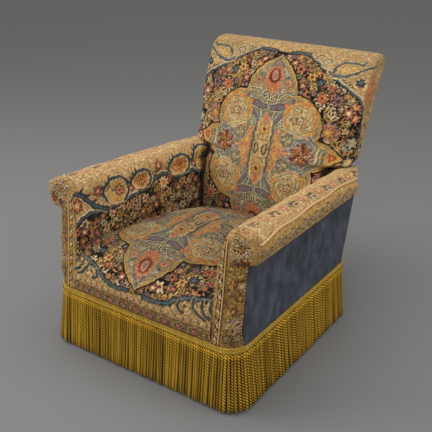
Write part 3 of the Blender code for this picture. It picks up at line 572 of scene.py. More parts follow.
MEDALLION_EDGE = (
    (0.0, 33.4), (1.2, 32.0), (3.4, 30.6), (5.6, 28.6), (7.4, 26.6), (8.9, 24.0), (9.7, 21.4),
    (9.8, 19.5), (11.8, 19.5), (14.8, 18.5), (17.6, 16.4), (19.6, 13.6), (20.5, 10.4), (20.2, 7.4),
    (19.4, 5.3), (21.6, 5.0), (23.8, 4.0), (25.8, 2.3), (27.6, 0.9), (28.8, 0.0),
)
GARDEN_EDGE = (
    (0.0, 34.6), (3.0, 34.8), (8.5, 35.3), (10.4, 34.7), (12.5, 33.1), (14.5, 32.0), (16.2, 30.5),
    (18.0, 29.2), (20.0, 28.3), (22.2, 26.7), (24.9, 25.0), (27.7, 23.5), (30.2, 21.8),
    (32.0, 19.8), (33.3, 16.8), (34.1, 13.0), (34.5, 8.0), (34.5, 0.0)
)


def four_ways(points):
    """A quarter's points, from the top round to the side, mirrored to the whole outline."""
    right = list(points) + [(x, -y) for x, y in reversed(points[:-1])]
    return right + [(-x, y) for x, y in reversed(right[1:-1])]


def mirrored(sx, sy):
    """Three ways into a quarter of the pattern: for lines of points, a spot, and a turn."""
    def there(*points):
        return [(sx * x, sy * y) for x, y in points]

    def spot(x, y):
        return (sx * x, sy * y)

    def way(turn):
        return math.atan2(sy * math.sin(turn), sx * math.cos(turn))

    return there, spot, way


GARDEN_FLOWERS = (
    ((18.9, 19.4), 2.7, 9, "night cream umber rust"),
    ((19.0, 19.9), 1.7, 7, "rust salmon orange rust"),
    ((24.4, 19.6), 2.2, 8, "night mauve rose umber"),
    ((28.4, 15.8), 2.0, 6, "night rose rust cream"),
    ((23.0, 9.2), 3.2, 9, "mauve rose salmon gold"), ((23.0, 8.8), 1.9, 7, "rust gold rust gold"),
    ((28.2, 9.8), 1.3, 5, "night cream tan rust"), ((30.6, 5.6), 2.1, 6, "night pale slate gold"),
    ((13.8, 26.6), 1.9, 6, "night gold salmon rust"),
    ((11.3, 23.2), 1.2, 5, "night rose salmon cream"),
    ((12.4, 29.2), 0.9, 5, "night salmon rust rust"),
    ((10.6, 32.2), 1.1, 6, "night gold orange rust"),
    ((5.9, 30.6), 1.4, 6, "night rose rust cream"),
    ((4.6, 33.2), 1.0, 5, "umber mauve mauve umber"),
    ((17.2, 25.0), 1.3, 5, "night slate deep_teal slate"),
    ((23.7, 23.1), 0.9, 5, "night rose rose rust"),
    ((10.9, 20.9), 0.9, 5, "night slate sage cream"),
    ((15.6, 21.2), 1.1, 5, "night mauve rose umber")
)
GARDEN_SPRAYS = (
    ((20.4, 14.4), 3.4, 0.2, "gold", "umber"), ((22.6, 13.6), 3.0, 1.0, "cream", "umber"),
    ((26.4, 3.4), 3.4, 1.3, "gold", "umber"), ((28.0, 19.0), 2.0, 0.6, "cream", "leaf"),
    ((14.2, 23.0), 2.6, 0.7, "gold", "leaf"), ((19.4, 24.8), 2.4, 1.5, "sand", "leaf"),
    ((21.4, 22.6), 2.4, 1.1, "rose", "rust"), ((9.2, 25.4), 2.0, 1.9, "sage", "leaf"),
    ((26.6, 12.6), 2.6, 0.3, "gold", "umber"), ((7.6, 32.0), 1.7, 0.5, "tan", "leaf"),
    ((28.2, 3.6), 3.0, 0.6, "pale", "slate"), ((15.4, 28.0), 2.4, 2.2, "gold", "night"),
)


def carpet(across, along, edge, corner):
    """The carpet design: along is measured from the medallion's centre; both in centimetres."""
    p = Pattern(across, along, "sand")
    p.field(four_ways(edge), (0.0, "night"))
    p.field(four_ways(MEDALLION_EDGE), (0.0, "gold"))
    p.garden(3.8, 7)
    p.strew("night", 1.3, 8, "night umber gold night leaf tan", 1.2, 0.28)
    p.strew("sand", 0.95, 9, "ochre tan gold cream leaf gold rose tan sage", 1.1, 0.34)
    ways = ((1, 1), (-1, 1), (1, -1), (-1, -1))
    for sx, sy in ways:
        spot, way = mirrored(sx, sy)[1:]
        for at, length, turn, rim, fill in GARDEN_SPRAYS:
            p.spray(spot(*at), length, way(turn), rim, fill)
        for at, radius, petals, dyes in GARDEN_FLOWERS:
            p.flower(spot(*at), radius, petals, dyes)
        corner(p, sx, sy)
    p.strew("salmon", 0.8, 94, "orange gold rust rose salmon tan", 0.9, 0.30)
    p.strew("orange", 0.8, 95, "rust salmon gold orange rose", 0.9, 0.30)

    whole = four_ways(MEDALLION_EDGE)
    p.stroke(whole + whole[:1], (1.1, "night"))
    p.field(
        whole, (0.0, "gold"), (0.50, "umber"), (0.66, "sand"), (0.95, "sage"), (1.5, "leaf"),
        (1.68, "gold"), (1.95, "tan"), (2.15, "sage")
    )
    p.strew("sage", 0.7, 91, "slate tan cream leaf gold tan rose slate", 0.9, 0.28)
    for sx, sy in ways:
        quarter(p, sx, sy)
    middle_of_medallion(p)
    return p.done()


def spandrel(p, sx, sy):
    """A corner outside the garden: its teal line, branch, hook, curl and small flower."""
    there, spot = mirrored(sx, sy)[:2]
    edge = there(*GARDEN_EDGE)
    p.stroke(edge[1:], (1.6, "night"), (0.95, "teal"), (0.4, "slate"), teeth=0.07)
    p.stroke([(x * 1.012, y * 1.014) for x, y in edge[3:]], (0.40, "cream"))
    branch = there(
        (19.0, 29.0), (21.0, 27.9), (23.5, 27.8), (26.0, 28.5), (28.5, 29.8), (31.0, 31.6),
        (34.0, 33.0)
    )
    p.field(
        there((21.6, 29.0), (22.2, 31.2), (24.2, 32.6), (27.6, 32.4), (29.4, 31.4), (25.0, 28.9)),
        (0.0, "gold"), (0.5, "ochre"), (0.75, "cream"), (1.05, "gold")
    )
    p.stroke(branch[:4], (2.1, "cream"), (1.7, "umber"), (1.3, "teal"), (0.6, "slate"), teeth=0.08)
    p.stroke(branch, (1.4, "cream"), (1.05, "umber"), (0.7, "teal"), (0.3, "slate"), teeth=0.05)
    p.stroke(
        there(
            (20.4, 29.2), (20.8, 31.0), (22.0, 32.6), (24.0, 33.4), (27.0, 33.5), (29.2, 33.0),
            (30.0, 34.2)
        ),
        (1.35, "cream"), (1.0, "umber"), (0.65, "teal"), (0.3, "slate"), teeth=0.05
    )
    p.stroke(
        there((16.0, 31.2), (15.7, 32.8), (16.6, 34.2), (18.0, 34.0), (18.4, 32.8), (17.6, 32.2)),
        (1.0, "cream"), (0.55, "umber"), (0.3, "slate")
    )
    p.stroke(there((12.6, 33.6), (13.6, 35.4), (15.2, 35.2)), (0.9, "cream"), (0.5, "umber"))
    p.blob(spot(30.0, 25.8), 2.1, "cream", 7, 0.08)
    p.blob(spot(30.0, 26.1), 1.8, "deep_teal", 7, 0.14)
    p.blob(spot(30.0, 26.3), 0.9, "slate", 5, 0.2)
    p.leaf(spot(30.2, 24.3), 2.2, 0.8, 0.3 * sx * sy, "salmon")
    p.field(
        there((32.0, 22.0), (34.2, 17.6), (36.6, 17.0), (37.4, 28.0), (33.6, 29.6)), (0.0, "tan"),
        (0.3, "salmon"), (1.6, "orange")
    )


def quarter(p, sx, sy):
    """A quarter of the medallion: upper lobe, horn, roundel and half of the side field."""
    there, spot, way = mirrored(sx, sy)

    # Upper lobe with small flowers and leaves round the palmette
    p.field(
        there(
            (-0.4, 31.6), (2.6, 29.4), (5.0, 27.0), (6.8, 24.4), (7.6, 21.6), (7.6, 18.7),
            (-0.4, 18.7)
        ),
        (0.0, "tan"), (0.28, "sage"), (0.9, "slate"), (1.3, "sage")
    )
    for x, y, length, lean, dye in (
        (1.8, 29.0, 2.2, -0.9, "mauve"), (3.4, 27.6, 1.6, 2.2, "pale"),
        (4.6, 26.2, 2.0, 2.4, "cream"), (5.3, 25.2, 1.7, 2.2, "teal"),
        (4.4, 20.6, 2.2, 0.9, "cream"), (5.4, 19.4, 1.6, 0.3, "pale"),
        (2.7, 19.5, 1.9, 2.2, "pale"), (6.6, 24.6, 1.3, 1.5, "pale"), (6.9, 21.6, 1.4, 1.7, "gold"),
        (4.2, 24.6, 1.2, 0.4, "teal"), (3.9, 22.6, 1.0, 1.9, "pale"), (1.2, 30.2, 1.3, 2.5, "teal")
    ):
        p.leaf(spot(x, y), length, 0.42 * length, way(lean), dye)
        p.leaf(spot(x, y), 0.7 * length, 0.16 * length, way(lean), "leaf")
    p.flower(spot(5.8, 23.2), 1.25, 6, "tan rose salmon rust")
    p.flower(spot(6.2, 20.4), 0.95, 5, "sage salmon orange rust")

    # Horn: a slate band that loops round an orange seed, a mauve bar and curls
    p.field(
        there(
            (2.4, 7.0), (2.0, 10.0), (2.4, 14.0), (8.0, 15.0), (5.8, 11.6), (5.4, 8.6), (6.0, 7.0)
        ),
        (0.0, "pale"), (0.3, "sage")
    )
    for inset, dye in ((0.0, "slate"), (0.75, "pale"), (1.25, "teal")):
        p.stroke(
            there(
                (2.2 + inset, 13.6), (1.9 + 0.8 * inset, 11.4), (2.2 + 0.8 * inset, 9.0),
                (2.6 + inset, 7.4)
            ),
            (0.32, dye)
        )
    for k in range(4):
        reach = 1.5 - 0.36 * k
        p.blob(spot(6.0, 10.4), reach, one_of("pale deep_teal cream teal", k))
    horn = there(
        (2.9, 6.4), (2.9, 8.8), (4.3, 10.9), (5.9, 12.6), (7.4, 14.2), (8.6, 15.9), (9.0, 17.8)
    )
    p.stroke(horn, (1.8, "pale"), (1.4, "umber"), (1.1, "slate"), (0.35, "mauve"), teeth=0.04)
    p.field(
        there(
            (0.35, 13.5), (0.35, 15.8), (2.6, 16.2), (5.0, 16.9), (7.8, 17.3), (8.6, 16.2),
            (7.4, 14.7), (5.0, 13.6), (2.6, 13.3)
        ),
        (0.0, "pale"), (0.3, "umber"), (0.55, "slate"), (0.9, "mauve")
    )
    p.blob(spot(7.0, 15.9), 1.15, "umber", 0, 0, 0, 0.95)
    p.blob(spot(7.0, 15.9), 0.95, "rose", 0, 0, 0, 0.95)
    p.blob(spot(7.0, 15.9), 0.6, "orange")
    p.leaf(spot(5.0, 12.0), 1.6, 0.7, way(0.9), "mauve")
    p.stroke(
        there(
            (0.5, 17.2), (0.5, 18.6), (1.3, 19.6), (2.4, 19.4), (2.9, 18.5), (2.3, 17.8),
            (1.6, 18.3)
        ),
        (0.95, "cream"), (0.5, "deep_teal")
    )
    p.stroke(
        there((3.2, 17.5), (3.6, 18.8), (4.8, 19.8), (6.6, 20.2), (8.6, 19.7)), (0.9, "cream"),
        (0.5, "teal")
    )

    # Roundel of uneven rings, ochre on its outer side, round a pale ground with small leaves
    middle = spot(12.7, 11.6)
    for k, (radius, dye) in enumerate(
        (
            (6.7, "gold"), (6.2, "orange"), (5.75, "gold"), (5.3, "slate"), (5.1, "sand"),
            (4.7, "gold"), (4.4, "sage"), (4.15, "cream"), (3.8, "sage"), (3.5, "sand")
        )
    ):
        p.blob(middle, radius, dye, (5, 7)[k > 4], (0.05, 0.08)[k > 4], 0.3 + 0.13 * k)
    draw = np.random.default_rng(17)
    for k in range(26):
        seed = round_about(middle, 0.74 * math.sqrt(k), 2.4 * k)
        dye = one_of("sage rust cream leaf rose sage cream gold slate", k)
        p.leaf(seed, 1.0 + 0.7 * draw.uniform(), 0.42, draw.uniform(0, math.pi), dye)
    p.flower(middle, 1.3, 5, "leaf cream rose rust")
    for k in range(6):
        turn = 0.5 + 0.36 * k
        p.leaf(
            spot(*round_about((12.7, 11.6), 6.1, turn)), 1.9, 0.8, way(turn + 1.4),
            one_of("orange gold", k)
        )

    # Side field: orange ground, quatrefoil leaves, seeded rosette and pointed tip
    p.field(
        there(
            (4.3, 7.6), (6.2, 7.4), (6.9, 4.8), (8.2, 2.4), (9.2, 0.9), (11.6, 0.4), (11.6, -0.4),
            (4.3, -0.4)
        ),
        (0.0, "tan"), (0.2, "rose"), (0.5, "gold"), (0.8, "orange"), (1.2, "gold")
    )
    for x, y in ((5.3, 1.6), (5.3, 3.2), (5.3, 4.8), (5.2, 6.3), (6.8, 1.2), (8.4, 0.5)):
        p.blob(spot(x, y), 0.42, "rust", 5, 0.2)
        p.blob(spot(x, y), 0.18, "cream")
    p.stroke(there((8.0, 8.6), (9.8, 7.8), (12.4, 6.8), (15.2, 6.2)), (0.9, "cream"), (0.5, "sage"))
    p.field(
        there((11.6, 5.4), (15.4, 6.2), (18.6, 4.8), (19.4, 0.0), (19.4, -0.4), (11.0, -0.4)),
        (0.0, "pale"), (0.25, "sage"), (0.7, "slate"), (1.1, "sage"), (1.4, "slate")
    )
    for radius, dye in ((2.9, "pale"), (2.65, "mauve"), (2.35, "leaf"), (2.05, "sage")):
        p.blob(spot(9.4, 4.4), radius, dye, 7, 0.10)
    for k in range(9):
        turn = 0.3 + 0.70 * k
        p.leaf(
            spot(*round_about((9.4, 4.4), 0.95, turn)), 1.6, 0.34, way(turn + 0.5),
            one_of("cream leaf gold slate", k)
        )
    p.stroke(
        there((16.4, 6.6), (18.8, 4.4), (19.6, 1.2), (19.6, -0.4)), (0.9, "pale"), (0.6, "teal"),
        (0.2, "mauve")
    )
    p.field(
        there(
            (20.2, 4.1), (21.6, 4.0), (23.6, 3.1), (25.6, 1.7), (27.4, 0.3), (27.4, -0.3),
            (20.2, -0.3)
        ),
        (0.0, "gold"), (0.35, "sand"), (0.7, "sage")
    )
    for k in range(5):
        p.leaf(
            spot(20.6 + 0.7 * k, 1.3 - 0.1 * k), 3.2 - 0.4 * k, 0.38, way(1.5),
            one_of("cream teal sand deep_teal gold", k)
        )


def middle_of_medallion(p):
    """What lies on the medallion's axes: palmettes, a column with curls, and side rosettes."""
    for sy in (-1, 1):
        # Palmette on the axis, with spiked petals
        for y, radius, dye, petals, depth, tall in (
            (22.6, 3.9, "tan", 13, 0.10, 0.85), (22.6, 3.7, "salmon", 13, 0.14, 0.85),
            (22.7, 3.1, "orange", 13, 0.2, 0.85), (25.0, 4.0, "tan", 15, 0.14, 1.12),
            (25.0, 3.8, "salmon", 15, 0.18, 1.12), (25.0, 3.1, "orange", 15, 0.22, 1.15),
            (25.2, 2.6, "rust", 15, 0.12, 1.15), (25.3, 2.1, "umber", 13, 0.10, 1.15),
            (25.5, 1.6, "rust", 0, 0, 1.25), (25.5, 1.35, "rose", 0, 0, 1.3),
            (25.4, 0.8, "tan", 0, 0, 1.5), (25.4, 0.4, "mauve", 0, 0, 1.5)
        ):
            p.blob((0.0, sy * y), radius, dye, petals, depth, 1.57, tall)
        p.leaf((0.0, sy * 29.4), 2.4, 1.0, 1.57, "salmon")
        p.leaf((0.0, sy * 29.4), 1.6, 0.4, 1.57, "rust")
        p.leaf((0.0, sy * 31.6), 2.0, 1.2, 1.57, "slate")
        # Column with small palmettes
        p.field(
            [(-2.9, sy * 9.4), (0.0, sy * 13.6), (2.9, sy * 9.4), (3.1, 0.0), (-3.1, 0.0)],
            (0.0, "tan"), (0.2, "cream"), (0.45, "gold"), (0.9, "sand")
        )
        p.field(
            [(-1.6, sy * 10.6), (0.0, sy * 13.0), (1.6, sy * 10.6), (0.0, sy * 8.8)], (0.0, "rose"),
            (0.25, "salmon"), (0.6, "orange")
        )
        p.flower((0.0, sy * 7.0), 2.2, 8, "tan gold orange rust")
        for sx in (-1, 1):
            p.stroke(
                [
                    (sx * 3.5, sy * 7.4), (sx * 3.8, sy * 5.4), (sx * 3.3, sy * 3.4),
                    (sx * 3.8, sy * 1.8), (sx * 3.5, 0.0)
                ],
                (0.75, "sage"), (0.4, "umber"), teeth=0.05
            )
            p.leaf((sx * 2.1, sy * 4.4), 1.5, 0.5, 1.2 * sx * sy, "leaf")
    p.field(
        [(-2.8, 3.4), (2.8, 3.4), (2.8, -3.4), (-2.8, -3.4)], (0.0, "tan"), (0.2, "sage"),
        (0.5, "sand")
    )
    for sx in (-1, 1):
        curl = [
            (sx * (1.65 + 0.75 * math.sin(a)), 1.7 * math.cos(a))
            for a in np.linspace(0.3, 5.5, 12)
        ]
        p.stroke(curl, (0.62, "leaf"), (0.34, "umber"))
        p.stroke(
            [(sx * 8.2, 0.0), (sx * 11.6, 0.0)], (1.6, "slate"), (0.95, "salmon"), (0.35, "gold")
        )
        p.flower((sx * 5.6, 0.0), 1.0, 6, "salmon gold orange rust")
        # Rosette of small seeds at either side
        for radius, dye in ((5.0, "pale"), (4.7, "mauve"), (4.2, "slate"), (3.9, "umber")):
            p.blob((sx * 15.4, 0.0), radius, dye, 9, 0.10)
        for k in range(76):
            seed = round_about((sx * 15.4, 0.0), 0.42 * math.sqrt(k), 2.4 * k)
            p.leaf(
                seed, 0.75, 0.50, 2.4 * k, one_of("salmon orange gold salmon rust orange cream", k)
            )
        p.field(
            [
                (sx * 23.8, 2.3), (sx * 25.6, 1.4), (sx * 28.2, 0.0), (sx * 25.6, -1.4),
                (sx * 23.8, -2.3)
            ],
            (0.0, "gold"), (0.2, "orange"), (0.6, "rust"), (0.9, "orange")
        )


def to_range(nodes, links, value, low, high, to_low, to_high):
    """Moves a value from one range to another."""
    change = nodes.new("ShaderNodeMapRange")
    ends = {"From Min": low, "From Max": high, "To Min": to_low, "To Max": to_high}
    for key, end in ends.items():
        change.inputs[key].default_value = end
    links.new(value, change.inputs["Value"])
    return change.outputs["Result"]


def shade_by(nodes, links, colour, tone):
    """One colour multiplied by another."""
    mix = nodes.new("ShaderNodeMix")
    mix.data_type = "RGBA"
    mix.blend_type = "MULTIPLY"
    mix.inputs["Factor"].default_value = 1.0
    links.new(colour, mix.inputs[6])
    links.new(tone, mix.inputs[7])
    return mix.outputs[2]


def moquette_finish():
    """Cut pile in each point's dyes, with painted shade multiplied in on some covers, speckled by
    its tufts and rubbed paler in patches.
    """
    material, nodes, links, shader = plain_finish("carpet_moquette", (0.3, 0.2, 0.1), 0.9)
    dye = nodes.new("ShaderNodeAttribute")
    dye.attribute_name = "dye"
    pile = object_noise(nodes, links, (620.0, 620.0, 620.0)).outputs["Fac"]
    wear = object_noise(nodes, links, (16.0, 16.0, 16.0), 5.0).outputs["Fac"]
    tufts = to_range(nodes, links, pile, 0.25, 0.75, 0.62, 1.38)
    rubbed = nodes.new("ShaderNodeMix")
    rubbed.data_type = "RGBA"
    rubbed.inputs[7].default_value = (*RUBBED_PILE, 1.0)
    links.new(to_range(nodes, links, wear, 0.45, 0.75, 0.0, 0.16), rubbed.inputs["Factor"])
    links.new(shade_by(nodes, links, dye.outputs["Color"], tufts), rubbed.inputs[6])
    links.new(rubbed.outputs[2], shader.inputs["Base Color"])
    shader.inputs["Sheen Weight"].default_value = 0.04
    shader.inputs["Sheen Roughness"].default_value = 0.5
    shader.inputs["Specular IOR Level"].default_value = 0.12
    raise_by(nodes, links, shader, pile, 0.55, 0.0012)
    return material


moquette = moquette_finish()


def column_ring(z):
    """One plan row of the back: front, right side, rear, left side, with wings behind the arms."""
    half = smooth(BACK_HALF_LINE, z)
    middle, edge = smooth(BACK_CENTRE_LINE, z), smooth(BACK_EDGE_LINE, z)
    rear = rear_y(z) - PANEL_THICK * (1 - ease(z, PANEL_END_FROM, PANEL_END_TO))
    high = ease(z, ARM_TOP_FROM, ARM_TOP_TO)
    u = np.linspace(-1.0, 1.0, FRONT_POINTS)
    front = np.stack([u * half, edge - (edge - middle) * (1 - np.abs(u) ** BACK_CROWN)], 1)
    side_y = edge + BACK_SIDE_SHARE * (rear - edge)
    wing_y = (rear_y(z) - ARM_END_BEFORE_REAR) * (1 - high) + side_y * high
    wing_y = max(wing_y, edge + WING_GAP)
    wing_x = BACK_WING_HALF * (1 - high) + half * high
    corner = np.array([(half, edge), (half, wing_y), (wing_x, wing_y + WING_STEP), (wing_x, rear)])
    side = np.concatenate([
        corner[k] + (corner[k + 1] - corner[k]) * np.linspace(0, 1, count + 1)[1:, None]
        for k, count in enumerate(SIDE_POINTS)
    ])
    far_x = np.linspace(wing_x, -wing_x, REAR_POINTS + 2)[1:-1]
    far = np.stack([far_x, np.full(REAR_POINTS, rear)], 1)
    ring = np.concatenate([front, side, far, side[::-1] * (-1, 1)])
    out = half + run_of(*np.concatenate([front[-1:], side]).T)[1:]
    across = np.concatenate([front[:, 0], out, far_x, -out[::-1]])
    behind = np.zeros(len(ring))
    behind[FRONT_POINTS + len(side):-len(side)] = 1.0
    return ring, across, behind


def make_back():
    """The closed stuffed back, row by row up its front, then over the top to the middle line."""
    fine = np.linspace(BACK_LOW, BACK_TOP, FINE_STEPS)
    run = run_of(fine, smooth(BACK_CENTRE_LINE, fine))
    rings, across, behind, path = [], [], [], []
    for s in np.linspace(0.0, run[-1], int(run[-1] / STITCH)):
        z = float(np.interp(s, run, fine))
        ring, x, far = column_ring(z)
        rings.append(np.concatenate([ring, np.full((len(ring), 1), z)], 1))
        across.append(x)
        behind.append(far)
        path.append(s + far * (0.05 + 2 * (BACK_TOP - z)))
    rings = np.array(rings)
    for again in range(ROUNDS_ACROSS):
        rings = (np.roll(rings, 1, 1) + 2 * rings + np.roll(rings, -1, 1)) / 4
    relax(rings, ROUNDS_UP)

    top, rows = rings[-1], [rings]
    spine = top.copy()
    is_rear = behind[-1] > 0
    spine[:, 1] = (top[:FRONT_POINTS, 1].mean() + top[is_rear, 1].mean()) / 2
    spine[:, 0] = np.clip(top[:, 0], -TOP_HALF, TOP_HALF)
    for share in TOP_SHARES:
        row = top + (spine - top) * share
        row[:, 2] = BACK_TOP + TOP_CROWN * math.sin(share * math.pi / 2)
        rows.append(row[None])
        across.append(across[-1])
        behind.append(behind[-1])
        path.append(path[-1] + TOP_STEP)
    points = np.concatenate(rows)
    across, behind, path = np.array(across), np.array(behind), np.array(path)
    soft = stuffing(across, path, BACK_LUMPS)
    points[..., 1] += soft * (1 - behind) * ease(points[..., 2], BACK_LUMPS_FROM, BACK_LUMPS_TO)

    up = path * 100
    slip = PATTERN_SLIP * ease(up, SLIP_FROM, SLIP_TO)
    dyes = carpet(across * 100 + slip, up - BACK_MEDALLION_UP, GARDEN_EDGE, spandrel)
    # Painted shade on the back's top roll, multiplied into its dyes.
    dyes *= 1 - TOP_PAINTED_SHADE * ease(up, TOP_DARK_FROM, TOP_DARK_TO)[..., None]
    # Painted shade on the left side of the back.
    dyes *= 1 - LEFT_PAINTED_SHADE * ease(-across, LEFT_DARK_FROM, LEFT_DARK_TO)[..., None]
    # Painted shade in the creases beside the arms, on the front of the back below the arm tops.
    beside = ease(np.abs(points[..., 0]), BACK_CREASE_FROM, BACK_CREASE_TO)
    beside *= ease(BACK_CREASE_TOP - points[..., 2], 0.0, BACK_CREASE_FADE)
    dyes *= 1 - BACK_CREASE_PAINTED_SHADE * (beside * (1 - behind))[..., None]
    tilt = TOP_LIFT - TOP_TILT * points[..., 0]
    points[..., 2] += tilt * ease(points[..., 2], TILT_FROM, BACK_TOP)
    points, dyes = join_ends(points, 1), join_ends(dyes, 1)
    back = lattice("back_cover", points, moquette, closed=True, dyes=dyes)
    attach(back, "root")
    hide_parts("back_pad")


make_back()


# Stuffed arms
# Each arm is a padded wall that rolls outward over a rail, covered in the same moquette.
# The cover goes from the seat up the inside and over the roll to a thin piping.
BODY_FRONT = -0.333
ROLL_HALF_WIDTH, ROLL_HALF_HEIGHT = 0.057, 0.050
ARM_INNER_LINE = ((0.19, 0.070), (0.28, 0.073), (0.36, 0.075), (0.42, 0.070), (0.456, 0.062))
ROLL_OUT, ROLL_TURN_IN, ROLL_OUT_AT = 0.330, 0.035, -0.280
ROLL_HEIGHT, ROLL_FALL, ROLL_HEIGHT_AT = 0.4985, 0.057, -0.250
FACE_LEAN, FACE_LEAN_FROM = 0.130, 0.200
FACING_REACH = 0.2835
COVER_FOOT, ARM_WALL_TOP = 0.2056, 0.445
ROLL_FROM_ANGLE, ROLL_TO_ANGLE = 197.0, 22.0
ARM_WALL_POINTS, ROLL_POINTS, OUTER_POINTS = 92, 96, 176
ARM_STATIONS = np.concatenate(
    [(0.0, 0.004, 0.009), np.linspace(0.015, 0.985, 246), (0.991, 0.996, 1.0)]
)
ARM_FRONT_AT, ARM_REAR_AT = 0.45, 0.40
ARM_FRONT_BARE, ARM_FRONT_COVERED = 0.001, 0.0135
ARM_ROUNDS_LOOP, ARM_ROUNDS_FRONT, ARM_ROUNDS_REAR = 6, 5, 4
BESIDE_BACK = 0.289
ARM_END_OUTSIDE, ARM_END_INSIDE = 0.014, 0.048
ARM_END_MOST, ARM_END_ROUND, ARM_END_ROUND_FROM = 0.437, 36.0, 0.310
ARM_EDGE_FRONT, ARM_EDGE_REAR, ARM_EDGE_DEEP = 0.006, 0.014, 0.008
ARM_FRONT_ROUND = 0.65
ARM_LUMPS = ((0.09, 0.0016, 11), (0.035, 0.0005, 21))
# Painted shade in the crease where the back meets each arm's inside: its share, and how far in
# front of the back it starts and ends.
ARM_CREASE_PAINTED_SHADE, ARM_CREASE_FROM, ARM_CREASE_TO = 0.80, 0.024, 0.004


def roll_x(y):
    """How far out the middle of an arm's roll lies."""
    return ROLL_OUT - ROLL_TURN_IN * (y - ROLL_OUT_AT)


def roll_z(y):
    """How high the middle of an arm's roll lies."""
    return ROLL_HEIGHT - ROLL_FALL * (y - ROLL_HEIGHT_AT)


def face_y(z):
    """The lean of the arms' fronts and the base."""
    return BODY_FRONT + FACE_LEAN * np.maximum(0.0, z - FACE_LEAN_FROM)


def arm_inner_x(y, z):
    """The inside face of an arm's wall."""
    return roll_x(y) - smooth(ARM_INNER_LINE, z)


def arm_loop(y):
    """One station round an arm, as x and z: its outer side over the roll, then its hollow side."""
    x, z = roll_x(y), roll_z(y)
    low = np.linspace(COVER_FOOT, ARM_WALL_TOP, ARM_WALL_POINTS)
    wall = np.stack([x - smooth(ARM_INNER_LINE, low), low], 1)
    angle = np.radians(np.linspace(ROLL_FROM_ANGLE, ROLL_TO_ANGLE, ROLL_POINTS))
    roll = np.stack([x + ROLL_HALF_WIDTH * np.cos(angle), z + ROLL_HALF_HEIGHT * np.sin(angle)], 1)
    outer = np.concatenate([wall, roll])
    relax(outer, ARM_ROUNDS_LOOP)
    run = run_of(*outer.T)
    even = np.linspace(0.0, run[-1], OUTER_POINTS)
    outer = np.stack([np.interp(even, run, outer[:, c]) for c in (0, 1)], 1)
    hollow = np.array([
        (x + 0.048, z + 0.012), (x + 0.040, z - 0.004), (x + 0.020, z - 0.018),
        (x - 0.010, z - 0.0185), (x - 0.030, z - 0.020), (x - 0.0335, z - 0.040),
        (x - 0.0335, 0.36), (x - 0.0335, 0.28), (x - 0.0335, COVER_FOOT), (x - 0.050, COVER_FOOT),
    ])
    return np.concatenate([outer, hollow])


def make_arm(side, name):
    """An arm from its facing to the back, station by station, each end cut to what it meets."""
    front, rear = arm_loop(float(face_y(ARM_FRONT_AT))), arm_loop(ARM_REAR_AT)
    under = (front[:, 0] < FACING_REACH) & (front[:, 1] < roll_z(-0.3) + 0.012)
    start = face_y(front[:, 1]) + np.where(under, ARM_FRONT_BARE, ARM_FRONT_COVERED)
    relax(start, ARM_ROUNDS_FRONT)
    beside = rear[:, 0] > BESIDE_BACK
    end = rear_y(rear[:, 1]) - np.where(beside, ARM_END_OUTSIDE, ARM_END_INSIDE)
    past = np.maximum(0.0, rear[:, 0] - ARM_END_ROUND_FROM)
    bulge = ARM_END_MOST - ARM_END_ROUND * past ** 2
    end = np.minimum(end, np.where(beside, bulge, 1.0))
    relax(end, ARM_ROUNDS_REAR)
    rows = []
    for share in ARM_STATIONS:
        y = start + (end - start) * share
        grid = np.linspace(y.min(), y.max(), 6)
        samples = np.array([arm_loop(float(v)) for v in grid])
        rows.append([
            (np.interp(at, grid, samples[:, k, 0]), at, np.interp(at, grid, samples[:, k, 1]))
            for k, at in enumerate(y)
        ])
    points = np.array(rows)

    outer = points[:, :OUTER_POINTS]
    reach = run_of(outer[..., 0], outer[..., 2], 1)
    normal = np.stack([-np.gradient(outer[..., 2], axis=1), np.gradient(outer[..., 0], axis=1)], -1)
    normal /= np.linalg.norm(normal, axis=-1, keepdims=True) + 1e-9
    near_front = np.maximum(0.0, 1 - ARM_STATIONS / ARM_EDGE_FRONT)
    near_rear = np.maximum(0.0, 1 - (1 - ARM_STATIONS) / ARM_EDGE_REAR)
    ends = ARM_FRONT_ROUND * near_front + near_rear
    round_off = ARM_EDGE_DEEP * (1 - np.sqrt(np.clip(1 - ends ** 2, 0.0, 1.0)))
    layers = [(size, height, seed + side) for size, height, seed in ARM_LUMPS]
    puff = stuffing(reach, outer[..., 1], layers)
    puff *= ease(reach, 0.0, 0.05) * ease(reach[:, -1:] - reach, 0.0, 0.03)
    move = puff - round_off[:, None]
    outer[..., 0] += normal[..., 0] * move
    outer[..., 2] += normal[..., 1] * move

    dyes = np.tile(DYES["sand"], (*points.shape[:2], 1))
    # Painted shade on the arm's inside wall, in the crease in front of where the back meets it.
    meets = smooth(BACK_EDGE_LINE, outer[..., 2])
    crease = ease(outer[..., 1], meets - ARM_CREASE_FROM, meets - ARM_CREASE_TO)
    crease *= ease(0.30 - reach, 0.0, 0.03)
    cloth = arm_cloth(outer[..., 1] * 100, reach * 100)
    dyes[:, :OUTER_POINTS] = cloth * (1 - ARM_CREASE_PAINTED_SHADE * crease[..., None])
    points[..., 0] *= side
    points, dyes = join_ends(points, 1), join_ends(dyes, 1)
    arm = lattice("arm_cover_" + name, points, moquette, closed=True, dyes=dyes)
    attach(arm, "root")
    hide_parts("arm_pad_" + name)


